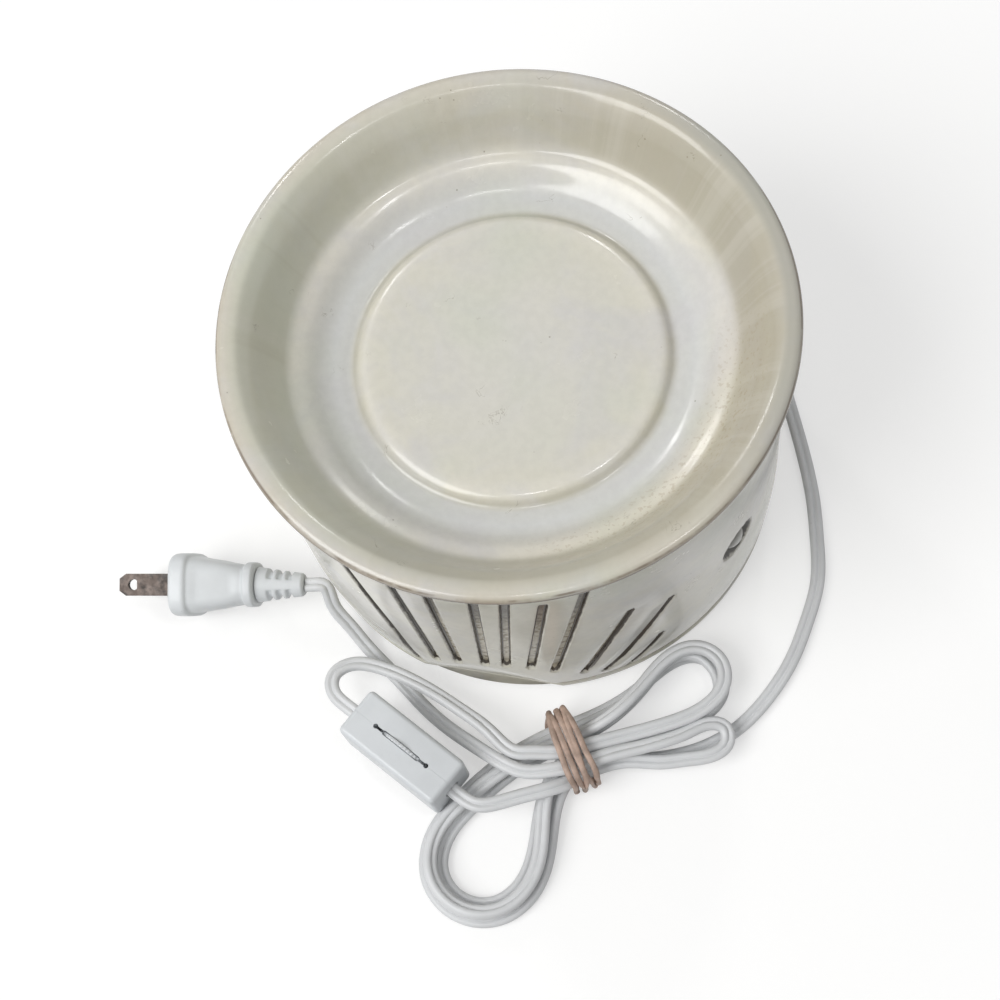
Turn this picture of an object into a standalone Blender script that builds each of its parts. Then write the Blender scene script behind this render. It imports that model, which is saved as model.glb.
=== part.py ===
import math

import bmesh
import bpy
import numpy as np
from mathutils import Matrix, Vector

for old in list(bpy.data.objects):
    bpy.data.objects.remove(old, do_unlink=True)

MM = 0.001
GAP = 0.3
FIT = 0.4

# ceramic body, millimetres; every other radius follows BODY_R
PAD_H = 1.5
PAD_R = 2.6
BODY_BOTTOM = PAD_H + GAP
BODY_TOP = 93.2
BODY_R = 70.5
WALL_T = 6.0
BODY_IN_R = BODY_R - WALL_T
MOUTH_INSET = 3.1
BODY_MOUTH_R = BODY_R - MOUTH_INSET
MOUTH_STEP_Z = BODY_TOP - 3.2
MOUTH_FLARE_Z = BODY_TOP - 17.2
FLOOR_TOP = 16.0
FLOOR_T = 4.5
FLOOR_UNDER = FLOOR_TOP - FLOOR_T
FILLET = 4.0
BODY_SEGS = 48
FOOT_INSET = 2.1
FOOT_BEAD = ((1.2, 0.8), (0.9, 1.8), (1.2, 2.7), (1.7, 3.4), (1.0, 4.4), (0.4, 9.2))
SHOULDER_INSET = ((0.0, 13.2), (0.3, 4.7), (0.9, 1.2))
RIM_EDGE = 1.5
FACET_DEPTH = 3.4
FACET_TOP = 27.0
FAN_AZ = -112.2
FAN_COUNT = 3
FAN_STEP = 360.0 / FAN_COUNT
GROOVE_COUNT = 10
GROOVE_W = 3.0
GROOVE_DEPTH = 1.4
GROOVE_FEET_AZ = (-17.0, -11.1, -5.4, 1.0, 5.8, 11.2, 16.2, 22.6, 27.5, 33.2)
GROOVE_FEET_Z = (10.0, 22.0, 26.6, 29.6, 30.4, 28.8, 24.2, 17.0, 12.4, 8.0)
GROOVE_TOPS_AZ = (-26.0, -14.0, -5.9, 3.6, 10.0, 17.3, 26.2, 34.6, 44.2, 41.2)
GROOVE_DROPS = (14.2, 9.2, 7.7, 6.5, 5.6, 11.2, 5.4, 35.2, 43.2, 69.2)
DOT_AZ = 64.8
DOT_Z = 44.4
DOT_R = 4.7
DOT_SINK = 3.7
DOT_RING_R = 6.3
DOT_RING_DEPTH = 2.0

# dish, measured from its rim, its seat on the body and its raised disc
DISH_SEGS = 48
RIM_OVER = 3.0
DISH_RIM_R = BODY_R + RIM_OVER
DISH_SEAT_Z = BODY_TOP + GAP
SPIGOT_FIT = 0.8
DISH_SPIGOT_R = BODY_MOUTH_R - SPIGOT_FIT
DISH_DEPTH = 22.0
DISH_UNDER_Z = DISH_SEAT_Z - DISH_DEPTH
DISC_DROP = 15.5
DISC_Z = DISH_SEAT_Z - DISC_DROP
DISC_INSET = 32.9
DISC_R = DISH_RIM_R - DISC_INSET
SHOULDER_R = DISH_RIM_R - 17.8
SHOULDER_Z = DISC_Z + 3.4
UNDERSIDE = ((26.0, 1.0), (20.0, 0.96), (15.0, 0.805), (11.3, 0.568), (8.6, 0.295))
LIP = ((1.8, 0.0), (0.7, 0.8), (0.0, 2.5), (0.3, 3.8), (1.3, 4.5), (3.0, 4.5), (5.0, 3.9), (6.5, 2.8))
INNER_WALL = ((8.3, 0.9), (10.1, -1.9), (12.1, -5.9), (14.1, -9.3), (15.9, -11.3))
CHANNEL = ((0.854, -1.2), (0.636, -3.7), (0.457, -4.9), (0.258, -5.4), (0.132, -5.7), (0.06, -5.3))

# cord exit
CORD_D = 3.6
EXIT_AZ = 100.0
EXIT_Z = 6.2
GROMMET_R = 4.0
GROMMET_FLANGE_R = 5.4
GROMMET_OUT = 2.1
GROMMET_FACE_R = BODY_R + GROMMET_OUT
NOTCH_R = GROMMET_R + FIT

# bottom cover and screws
COVER_R = BODY_IN_R - 2.0 * GAP
COVER_Z0 = BODY_BOTTOM + 0.8
COVER_Z1 = COVER_Z0 + 1.3
BOSS_R = 4.6
BOSS_INSET = 14.5
BOSS_AT = BODY_IN_R - BOSS_INSET
BOSS_BOTTOM = COVER_Z1 + GAP
SCREW_R = 1.5
SCREW_HEAD_R = 2.9
SCREW_HEAD_H = 1.4
SCREW_TOP = FLOOR_UNDER - 2.5
FASTEN_AZ = (-51.0, 69.0, 189.0)

# lamp holder and lamp, standing on the floor
NIPPLE_R = 5.1
NIPPLE_BORE = 3.5
NIPPLE_RISE = 6.5
NIPPLE_Z1 = FLOOR_TOP + NIPPLE_RISE
NUT_AF_R = 8.0
NUT_H = 2.8
WASHER_R = 9.0
WASHER_T = 0.6
HOLDER_R = 11.5
HOLDER_H = 26.0
HOLDER_Z0 = FLOOR_TOP + GAP
HOLDER_Z1 = FLOOR_TOP + HOLDER_H
HOLDER_SHELF_Z0 = NIPPLE_Z1 + 1.5
HOLDER_SHELF_Z1 = HOLDER_SHELF_Z0 + 1.5
HOLDER_STEP_Z = HOLDER_SHELF_Z1 + 5.0
CAP_R = 5.9
SHELL_IN_R = CAP_R + FIT
SHELL_OUT_R = SHELL_IN_R + 0.5
CUP_R = SHELL_OUT_R + GAP
TAB_Z1 = HOLDER_SHELF_Z1 + 1.1
LAMP_Z0 = TAB_Z1 + GAP
CAP_Z0 = LAMP_Z0 + 2.4
CAP_H = 14.7
CAP_Z1 = CAP_Z0 + CAP_H
NECK_R = 4.9
NECK_Z = CAP_Z1 - 8.0
GLASS_R = 10.4
GLASS_WALL = 0.7
LAMP_CLEAR = 4.1
GLASS_TOP = DISH_UNDER_Z - LAMP_CLEAR
GLASS_FORM = ((0.692, 0.15), (0.913, 0.32), (1.0, 0.49), (0.913, 0.684), (0.673, 0.855), (0.346, 0.966))
STEM_R = 1.6
STEM_RISE = 3.0
WIRE_D = 1.6
WIRE_OFF = 1.1
LEAD_IN_R = 14.0

# hank, measured from its waist in front of the wall
PITCH = 4.2
LAYER = 4.25
Z_TABLE = 2.1
Z_WAIST = 4.0
HANK_AWAY = 17.5
WAIST = (-8.0, -BODY_R - HANK_AWAY)
WAIST_DIR = 9.0
LOW_C = (WAIST[0] - 30.0, WAIST[1] - 24.5)
LOW_R = 16.3
LOW_DIR = 228.0
UP_C = (WAIST[0] + 37.0, WAIST[1] + 11.0)
UP_R = 8.6
UP_DIR = 24.0
IN_OFF = 2.2
OUT_OFF = 6.5
HANK_LOOPS = 3
BAND_D = 1.4
BAND_TURNS = 4
BAND_PITCH = 1.9
BAND_HALF_W = 12.2
BAND_HALF_H = 8.3
BAND_SQUARE = 0.45

# inline switch
SWITCH_C = (WAIST[0] - 45.0, WAIST[1] + 7.5, 12.4)
SWITCH_YAW = -50.2
SWITCH_L = 34.0
SWITCH_T = 14.6
SWITCH_H = 16.0
SLOT_L = 19.0
WHEEL_R = 10.5
WHEEL_T = 2.4
AXLE_R = 1.2
AXLE_L = 11.0
SWITCH_SCREW_X = 12.7
SWITCH_SCREW_Z = 3.4
SWITCH_SCREW_HEAD = 2.3
SLOT_EASE = 0.6

# plug, lying beside the wall with its nose a little down
PLUG_AWAY = 6.7
PLUG_AZ = -159.3
PLUG_Z = 16.2
PLUG_YAW = 165.2
PLUG_PITCH = 5.0
PLUG_ROLL = -18.0
RELIEF_L = 13.8
RELIEF_R = 3.2
RELIEF_GROW = 2.2
RIB_H = 0.5
RIB_COUNT = 5
PLUG_L = 23.4
PLUG_HALF_W = 9.1
PLUG_HALF_H = 11.7
BLADE_L = 15.9
BLADE_W = 6.35
BLADE_T = 1.5
BLADE_PITCH = 12.7
BLADE_HOLE_R = 1.6
BLADE_HOLE_IN = 4.2


def material(name, colour, rough, metal=0.0):
    mat = bpy.data.materials.new(name)
    mat.use_nodes = True
    shader = mat.node_tree.nodes["Principled BSDF"]
    shader.inputs["Base Color"].default_value = (*colour, 1.0)
    shader.inputs["Roughness"].default_value = rough
    shader.inputs["Metallic"].default_value = metal
    return mat


GLAZE = (0.78, 0.75, 0.66)
WHITE = (0.83, 0.83, 0.81)
BRASS = (0.78, 0.58, 0.26)
STEEL = (0.62, 0.63, 0.64)
BLACK = (0.05, 0.05, 0.05)
TAN = (0.66, 0.50, 0.31)
CLEAR = (0.90, 0.90, 0.88)


def add_object(name, mesh, colour, rough, metal=0.0, place=None):
    if place is not None:
        mesh.transform(place)
    mesh.shade_smooth()
    mesh.set_sharp_from_angle(angle=math.radians(35.0))
    mesh.update()
    obj = bpy.data.objects.new(name, mesh)
    bpy.context.scene.collection.objects.link(obj)
    mesh.materials.append(material(name + "_finish", colour, rough, metal))
    return obj


def finish_mesh(bm, name):
    bmesh.ops.recalc_face_normals(bm, faces=bm.faces[:])
    mesh = bpy.data.meshes.new(name)
    bm.to_mesh(mesh)
    bm.free()
    return mesh


def lathe_mesh(name, profile, segs, shape=None):
    """Revolve a closed profile of (radius, height) points about Z."""
    bm = bmesh.new()
    rings = []
    for r, z in profile:
        if r <= 1e-9:
            rings.append([bm.verts.new((0.0, 0.0, z * MM))])
            continue
        ring = []
        for i in range(segs):
            a = 2.0 * math.pi * i / segs
            rr = r if shape is None else shape(r, z, a)
            ring.append(bm.verts.new((rr * MM * math.cos(a), rr * MM * math.sin(a), z * MM)))
        rings.append(ring)
    count = len(rings)
    for k in range(count):
        a = rings[k]
        b = rings[(k + 1) % count]
        if len(a) == 1 and len(b) == 1:
            continue
        for i in range(segs):
            j = (i + 1) % segs
            if len(a) == 1:
                bm.faces.new((a[0], b[i], b[j]))
            elif len(b) == 1:
                bm.faces.new((a[i], a[j], b[0]))
            else:
                bm.faces.new((a[i], a[j], b[j], b[i]))
    return finish_mesh(bm, name)


def prism_mesh(name, outline, z0, z1):
    """Extrude a closed outline of (x, y) points along Z."""
    bm = bmesh.new()
    low = [bm.verts.new((x * MM, y * MM, z0 * MM)) for x, y in outline]
    top = [bm.verts.new((x * MM, y * MM, z1 * MM)) for x, y in outline]
    bm.faces.new(low[::-1])
    bm.faces.new(top)
    n = len(outline)
    for i in range(n):
        j = (i + 1) % n
        bm.faces.new((low[i], low[j], top[j], top[i]))
    return finish_mesh(bm, name)


def loft_mesh(name, rings):
    """Skin equal closed rings of points, with flat ends."""
    bm = bmesh.new()
    rows = [[bm.verts.new([c * MM for c in p]) for p in ring] for ring in rings]
    n = len(rows[0])
    bm.faces.new(rows[0][::-1])
    bm.faces.new(rows[-1])
    for a, b in zip(rows, rows[1:]):
        for i in range(n):
            j = (i + 1) % n
            bm.faces.new((a[i], a[j], b[j], b[i]))
    return finish_mesh(bm, name)


def round_rect(half_x, half_y, radius, steps=3):
    pts = []
    for cx, cy, start in ((1, 1, 0), (-1, 1, 90), (-1, -1, 180), (1, -1, 270)):
        for k in range(steps + 1):
            a = math.radians(start + 90.0 * k / steps)
            pts.append((cx * (half_x - radius) + radius * math.cos(a),
                        cy * (half_y - radius) + radius * math.sin(a)))
    return pts


def box_mesh(name, lo, hi):
    outline = [(lo[0], lo[1]), (hi[0], lo[1]), (hi[0], hi[1]), (lo[0], hi[1])]
    return prism_mesh(name, outline, lo[2], hi[2])


def cylinder_mesh(name, r, z0, z1, segs):
    return lathe_mesh(name, [(0, z0), (r, z0), (r, z1), (0, z1)], segs)


def cutter(name, mesh, place=None):
    if place is not None:
        mesh.transform(place)
    obj = bpy.data.objects.new(name, mesh)
    bpy.context.scene.collection.objects.link(obj)
    obj.hide_render = True
    obj.display_type = "WIRE"
    return obj


def boolean(obj, tool, operation):
    mod = obj.modifiers.new(tool.name, "BOOLEAN")
    mod.object = tool
    mod.operation = operation
    mod.solver = "EXACT"


def joined(name, meshes):
    bm = bmesh.new()
    for mesh in meshes:
        bm.from_mesh(mesh)
    out = bpy.data.meshes.new(name)
    bm.to_mesh(out)
    bm.free()
    return out


def smooth(points, step):
    """Natural cubic curve through route points, read at an even step."""
    p = np.asarray(points, float)
    n = len(p)
    u = np.concatenate([[0.0], np.cumsum(np.linalg.norm(np.diff(p, axis=0), axis=1))])
    a = np.eye(n)
    b = np.zeros((n, 3))
    for i in range(1, n - 1):
        h0 = u[i] - u[i - 1]
        h1 = u[i + 1] - u[i]
        a[i, i - 1:i + 2] = (h0, 2.0 * (h0 + h1), h1)
        b[i] = 6.0 * ((p[i + 1] - p[i]) / h1 - (p[i] - p[i - 1]) / h0)
    m = np.linalg.solve(a, b)
    out = []
    for s in np.linspace(0.0, u[-1], int(math.ceil(u[-1] / step)) + 1):
        i = min(n - 2, max(0, int(np.searchsorted(u, s)) - 1))
        h = u[i + 1] - u[i]
        f = (u[i + 1] - s) / h
        g = (s - u[i]) / h
        bow = (f ** 3 - f) * m[i] + (g ** 3 - g) * m[i + 1]
        out.append(f * p[i] + g * p[i + 1] + bow * h * h / 6.0)
    return np.array(out)


def tube(name, points, diameter, sides, colour, rough, metal=0.0):
    curve = bpy.data.curves.new(name, "CURVE")
    curve.dimensions = "3D"
    curve.bevel_depth = 0.5 * diameter * MM
    curve.bevel_resolution = sides
    curve.use_fill_caps = True
    line = curve.splines.new("POLY")
    line.points.add(len(points) - 1)
    for i, p in enumerate(points):
        line.points[i].co = (p[0] * MM, p[1] * MM, p[2] * MM, 1.0)
    obj = bpy.data.objects.new(name, curve)
    bpy.context.scene.collection.objects.link(obj)
    curve.materials.append(material(name + "_finish", colour, rough, metal))
    return obj


def polar(r, az, z):
    return (r * math.cos(math.radians(az)), r * math.sin(math.radians(az)), z)


def yawed(at, yaw):
    return Matrix.Translation(Vector(at) * MM) @ Matrix.Rotation(math.radians(yaw), 4, "Z")


ALONG_X = Matrix.Rotation(math.radians(90.0), 4, "Y")
ALONG_Y = Matrix.Rotation(math.radians(-90.0), 4, "X")

# dish: pool floor with a raised disc, shoulder, sloping wall and rolled lip
channel_w = SHOULDER_R - DISC_R
dish_profile = [(0.0, DISH_UNDER_Z)]
dish_profile += [(DISH_RIM_R - inset, DISH_SEAT_Z - share * DISH_DEPTH) for inset, share in UNDERSIDE]
dish_profile += [(DISH_SPIGOT_R, DISH_SEAT_Z - 0.105 * DISH_DEPTH), (DISH_SPIGOT_R + 0.6, DISH_SEAT_Z)]
dish_profile += [(DISH_RIM_R - inset, DISH_SEAT_Z + rise) for inset, rise in LIP + INNER_WALL]
dish_profile += [(SHOULDER_R, SHOULDER_Z)]
dish_profile += [(DISC_R + share * channel_w, SHOULDER_Z + rise) for share, rise in CHANNEL]
dish_profile += [(DISC_R, DISC_Z - 0.9), (DISC_R - 1.4, DISC_Z - 0.2), (DISC_R - 3.6, DISC_Z), (0.0, DISC_Z)]
dish = add_object("dish", lathe_mesh("dish", dish_profile, DISH_SEGS), GLAZE, 0.18)


# body: round wall with a floor, its foot flattened below each fan of grooves
def fan_angle(a, centre):
    return (math.degrees(a) - centre + 180.0) % 360.0 - 180.0


def body_shape(r, z, a):
    if r < BODY_IN_R + 0.25 * WALL_T or z > FACET_TOP:
        return r
    cut = r - FACET_DEPTH * (1.0 - z / FACET_TOP)
    out = r
    for k in range(FAN_COUNT):
        t = math.radians(fan_angle(a, FAN_AZ + FAN_STEP * k))
        if math.cos(t) > 0.7:
            out = min(out, cut / math.cos(t))
    return out


body_profile = [(BODY_IN_R, BODY_BOTTOM), (BODY_R - FOOT_INSET, BODY_BOTTOM)]
body_profile += [(BODY_R - inset, BODY_BOTTOM + rise) for inset, rise in FOOT_BEAD]
body_profile += [(BODY_R, FLOOR_TOP + 2.0), (BODY_R, FACET_TOP)]
body_profile += [(BODY_R - inset, BODY_TOP - drop) for inset, drop in SHOULDER_INSET]
body_profile += [
    (BODY_R - RIM_EDGE, BODY_TOP), (BODY_MOUTH_R + 0.7, BODY_TOP), (BODY_MOUTH_R, BODY_TOP - 0.8),
    (BODY_MOUTH_R, MOUTH_STEP_Z), (0.5 * (BODY_MOUTH_R + BODY_IN_R), 0.5 * (MOUTH_STEP_Z + MOUTH_FLARE_Z)),
    (BODY_IN_R, MOUTH_FLARE_Z), (BODY_IN_R, FLOOR_TOP + FILLET),
    (BODY_IN_R - 0.3 * FILLET, FLOOR_TOP + 0.3 * FILLET), (BODY_IN_R - FILLET, FLOOR_TOP),
    (NIPPLE_R + GAP, FLOOR_TOP), (NIPPLE_R + GAP, FLOOR_UNDER), (BODY_IN_R - FILLET, FLOOR_UNDER),
    (BODY_IN_R - 0.3 * FILLET, FLOOR_UNDER - 0.2 * FILLET), (BODY_IN_R, FLOOR_UNDER - 0.8 * FILLET)]
body_mesh = lathe_mesh("body_shell", body_profile, BODY_SEGS, body_shape)
body = add_object("body_shell", body_mesh, GLAZE, 0.2)


def groove_path(k):
    """Azimuth and height along one groove, relative to its fan."""
    foot = (GROOVE_FEET_AZ[k], GROOVE_FEET_Z[k])
    top = (GROOVE_TOPS_AZ[k], BODY_TOP - GROOVE_DROPS[k])
    middle = (0.5 * (foot[0] + top[0]), 0.5 * (foot[1] + top[1]))
    return [foot, middle, top]


def groove_mesh(k, fan):
    path = groove_path(k)
    line = np.array([(math.radians(az) * BODY_R, z) for az, z in path])
    tip = 0.5 * GROOVE_W
    first = line[0] + (line[0] - line[1]) / np.linalg.norm(line[0] - line[1]) * tip * 0.8
    last = line[-1] + (line[-1] - line[-2]) / np.linalg.norm(line[-1] - line[-2]) * tip * 0.8
    stations = [(first, 0.45)] + [(p, 1.0) for p in line] + [(last, 0.45)]
    bm = bmesh.new()
    rows = []
    for i, (p, wide) in enumerate(stations):
        a = stations[max(0, i - 1)][0]
        b = stations[min(len(stations) - 1, i + 1)][0]
        d = (b - a) / np.linalg.norm(b - a)
        n = np.array([-d[1], d[0]]) * tip * wide
        row = []
        for q, r in ((p + n, BODY_R + 3.0), (p - n, BODY_R + 3.0),
                     (p - n, BODY_R - GROOVE_DEPTH), (p + n, BODY_R - GROOVE_DEPTH)):
            az = math.degrees(q[0] / BODY_R) + FAN_AZ + FAN_STEP * fan
            row.append(bm.verts.new([c * MM for c in polar(r, az, q[1])]))
        rows.append(row)
    bm.faces.new(rows[0])
    bm.faces.new(rows[-1][::-1])
    for a, b in zip(rows, rows[1:]):
        for i in range(4):
            j = (i + 1) % 4
            bm.faces.new((a[i], b[i], b[j], a[j]))
    bmesh.ops.triangulate(bm, faces=bm.faces[:])
    return finish_mesh(bm, "groove")


grooves = [groove_mesh(k, f) for f in range(FAN_COUNT) for k in range(GROOVE_COUNT)]
boolean(body, cutter("groove_cut", joined("groove_cut", grooves)), "DIFFERENCE")


def dot_place(f, r):
    az = FAN_AZ + DOT_AZ + FAN_STEP * f
    return yawed(polar(r, az, DOT_Z), az) @ ALONG_X


ring_profile = [(0.0, -DOT_RING_DEPTH), (DOT_RING_R, -DOT_RING_DEPTH), (DOT_RING_R, 3.0), (0.0, 3.0)]
rings = []
domes = []
for f in range(FAN_COUNT):
    ring = lathe_mesh("dot_ring", ring_profile, 24)
    ring.transform(dot_place(f, BODY_R))
    rings.append(ring)
    arc = [math.radians(15.0 * k) for k in range(7)]
    dome_profile = [(0.0, -1.0), (DOT_R, -1.0)]
    dome_profile += [(DOT_R * math.cos(t), DOT_R * math.sin(t)) for t in arc]
    dome_profile[-1] = (0.0, DOT_R)
    dome = lathe_mesh("dot_dome", dome_profile, 24)
    dome.transform(dot_place(f, BODY_R - DOT_SINK))
    domes.append(dome)
boolean(body, cutter("dot_ring_cut", joined("dot_ring_cut", rings)), "DIFFERENCE")
boolean(body, cutter("dot_dome_add", joined("dot_dome_add", domes)), "UNION")

# notch for the cord in the foot of the back wall
arch = [polar(NOTCH_R, 15.0 * k, 0.0) for k in range(13)]
notch_outline = [(x, EXIT_Z + y) for x, y, z in arch] + [(-NOTCH_R, -NOTCH_R), (NOTCH_R, -NOTCH_R)]
notch = prism_mesh("notch", notch_outline, BODY_IN_R - 0.4 * WALL_T, BODY_R + WALL_T)
notch_turn = Matrix(((0, 0, 1, 0), (1, 0, 0, 0), (0, 1, 0, 0), (0, 0, 0, 1)))
exit_turn = Matrix.Rotation(math.radians(EXIT_AZ), 4, "Z")
boolean(body, cutter("notch_cut", notch, exit_turn @ notch_turn), "DIFFERENCE")

# bosses under the floor for the cover screws
bosses = []
pilots = []
for az in FASTEN_AZ:
    boss = cylinder_mesh("boss", BOSS_R, BOSS_BOTTOM, FLOOR_UNDER + 1.0, 24)
    boss.transform(Matrix.Translation(Vector(polar(BOSS_AT, az, 0.0)) * MM))
    bosses.append(boss)
    pilot = cylinder_mesh("pilot", SCREW_R + GAP, BOSS_BOTTOM - 1.0, SCREW_TOP + GAP, 16)
    pilot.transform(Matrix.Translation(Vector(polar(BOSS_AT, az, 0.0)) * MM))
    pilots.append(pilot)
boolean(body, cutter("boss_add", joined("boss_add", bosses)), "UNION")
boolean(body, cutter("pilot_cut", joined("pilot_cut", pilots)), "DIFFERENCE")

# pads under the foot, between the flattened parts
for i, az in enumerate(FASTEN_AZ):
    pad = cylinder_mesh("foot_pad", PAD_R, 0.0, PAD_H, 20)
    place = Matrix.Translation(Vector(polar(0.5 * (BODY_IN_R + BODY_R - FOOT_INSET), az, 0.0)) * MM)
    add_object(f"foot_pad_{i + 1}", pad, (0.55, 0.55, 0.53), 0.9, 0.0, place)

# bottom cover and its screws
cover_mesh = cylinder_mesh("bottom_cover", COVER_R, COVER_Z0, COVER_Z1, 64)
cover = add_object("bottom_cover", cover_mesh, BLACK, 0.6)
holes = []
for az in FASTEN_AZ:
    hole = cylinder_mesh("cover_hole", SCREW_R + GAP, COVER_Z0 - 1.0, COVER_Z1 + 1.0, 16)
    hole.transform(Matrix.Translation(Vector(polar(BOSS_AT, az, 0.0)) * MM))
    holes.append(hole)
boolean(cover, cutter("cover_hole_cut", joined("cover_hole_cut", holes)), "DIFFERENCE")
head_z = COVER_Z0 - GAP
for i, az in enumerate(FASTEN_AZ):
    profile = [(0.0, head_z - SCREW_HEAD_H), (SCREW_HEAD_R - 0.6, head_z - SCREW_HEAD_H),
               (SCREW_HEAD_R, head_z - 0.8), (SCREW_HEAD_R, head_z), (SCREW_R, head_z),
               (SCREW_R, SCREW_TOP - 0.8), (0.6, SCREW_TOP), (0.0, SCREW_TOP)]
    place = Matrix.Translation(Vector(polar(BOSS_AT, az, 0.0)) * MM)
    add_object(f"cover_screw_{i + 1}", lathe_mesh("cover_screw", profile, 16), STEEL, 0.35, 1.0, place)

# threaded nipple with washer and nut, holding the lamp holder to the floor
washer_z1 = FLOOR_UNDER - GAP
washer_z0 = washer_z1 - WASHER_T
nut_z1 = washer_z0 - GAP
nut_z0 = nut_z1 - NUT_H
nipple_z0 = nut_z0 - GAP
bore = NIPPLE_R + GAP
nipple = [(NIPPLE_BORE, nipple_z0), (NIPPLE_R - 0.4, nipple_z0), (NIPPLE_R, nipple_z0 + 0.5),
          (NIPPLE_R, NIPPLE_Z1 - 0.5), (NIPPLE_R - 0.4, NIPPLE_Z1), (NIPPLE_BORE, NIPPLE_Z1)]
add_object("socket_nipple", lathe_mesh("socket_nipple", nipple, 24), BRASS, 0.3, 1.0)
washer = [(bore, washer_z0), (WASHER_R, washer_z0), (WASHER_R, washer_z1), (bore, washer_z1)]
add_object("nipple_washer", lathe_mesh("nipple_washer", washer, 24), STEEL, 0.35, 1.0)


def hexagon(r, z, a):
    if r < NUT_AF_R - 0.1:
        return r
    t = (a + math.pi / 6.0) % (math.pi / 3.0) - math.pi / 6.0
    return NUT_AF_R / math.cos(t)


nut = [(bore, nut_z0), (NUT_AF_R, nut_z0), (NUT_AF_R, nut_z1), (bore, nut_z1)]
add_object("nipple_nut", lathe_mesh("nipple_nut", nut, 24, hexagon), STEEL, 0.35, 1.0)

# lamp holder: insulating cup, brass screw shell, centre contact
holder = [
    (bore, HOLDER_Z0), (HOLDER_R - 1.0, HOLDER_Z0), (HOLDER_R, HOLDER_Z0 + 1.0), (HOLDER_R, HOLDER_STEP_Z),
    (HOLDER_R - 1.2, HOLDER_STEP_Z + 1.0), (HOLDER_R - 1.2, HOLDER_Z1 - 0.6), (HOLDER_R - 1.8, HOLDER_Z1),
    (CUP_R, HOLDER_Z1), (CUP_R, HOLDER_SHELF_Z1), (1.6, HOLDER_SHELF_Z1), (1.6, HOLDER_SHELF_Z0),
    (bore, HOLDER_SHELF_Z0)]
add_object("socket_body", lathe_mesh("socket_body", holder, 24), BLACK, 0.5)
shell = [(SHELL_IN_R, HOLDER_SHELF_Z1 + GAP), (SHELL_OUT_R, HOLDER_SHELF_Z1 + GAP),
         (SHELL_OUT_R, HOLDER_Z1 - 0.5), (SHELL_IN_R, HOLDER_Z1 - 0.5)]
add_object("socket_shell", lathe_mesh("socket_shell", shell, 24), BRASS, 0.3, 1.0)
tab = [(0.0, HOLDER_SHELF_Z0 - 0.8), (1.2, HOLDER_SHELF_Z0 - 0.8), (1.2, HOLDER_SHELF_Z1 + GAP),
       (3.5, HOLDER_SHELF_Z1 + GAP), (3.5, TAB_Z1), (0.0, TAB_Z1)]
add_object("socket_contact", lathe_mesh("socket_contact", tab, 24), BRASS, 0.3, 1.0)

# lamp: tip contact, screw cap, glass, stem and filament
tip = [(0.0, LAMP_Z0), (1.8, LAMP_Z0), (2.6, LAMP_Z0 + 0.7), (4.4, CAP_Z0 - GAP), (0.0, CAP_Z0 - GAP)]
add_object("bulb_contact", lathe_mesh("bulb_contact", tip, 24), STEEL, 0.4, 1.0)
cap = [(0.0, CAP_Z0), (4.8, CAP_Z0), (5.5, CAP_Z0 + 0.9)]
for k in range(4):
    z = CAP_Z0 + 2.0 + 2.6 * k
    cap += [(CAP_R - 0.35, z - 0.9), (CAP_R, z), (CAP_R, z + 0.5), (CAP_R - 0.35, z + 1.4)]
cap += [(CAP_R, CAP_Z1 - 2.0), (CAP_R, CAP_Z1), (NECK_R + GAP, CAP_Z1), (NECK_R + GAP, CAP_Z0 + 1.6),
        (4.6, CAP_Z0 + 0.8), (0.0, CAP_Z0 + 0.8)]
add_object("bulb_cap", lathe_mesh("bulb_cap", cap, 16), BRASS, 0.3, 1.0)
glass_h = GLASS_TOP - CAP_Z1
belly = [(GLASS_R * wide, CAP_Z1 + glass_h * rise) for wide, rise in GLASS_FORM]
outer = [(NECK_R, NECK_Z), (NECK_R, CAP_Z1 + 0.4)] + belly
inner = [(r - GLASS_WALL, z - (0.5 * GLASS_WALL if z > belly[2][1] else 0.0)) for r, z in outer]
glass = outer + [(0.0, GLASS_TOP), (0.0, GLASS_TOP - GLASS_WALL)] + inner[::-1]
add_object("bulb_glass", lathe_mesh("bulb_glass", glass, 20), CLEAR, 0.05)
stem_top = CAP_Z1 + STEM_RISE
stem = [(0.0, NECK_Z - 1.1), (NECK_R - 0.1, NECK_Z - 1.1), (NECK_R - 0.1, NECK_Z - GAP), (3.5, NECK_Z - GAP),
        (2.6, NECK_Z + 2.0), (STEM_R, CAP_Z1 - 2.0), (STEM_R, stem_top), (0.0, stem_top)]
add_object("bulb_stem", lathe_mesh("bulb_stem", stem, 20), CLEAR, 0.1)
post = [(-1.0, 0.6), (-1.6, 2.0), (-3.0, 5.0), (-4.0, 8.0)]
coil = [(x, 0.0, stem_top + z) for x, z in post]
coil += [(-4.0 + 8.0 * k / 12.0, 0.0, stem_top + 8.6 + 0.5 * (k % 2)) for k in range(1, 12)]
coil += [(-x, 0.0, stem_top + z) for x, z in post[::-1]]
tube("filament", coil, 0.4, 1, STEEL, 0.4, 1.0)

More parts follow.
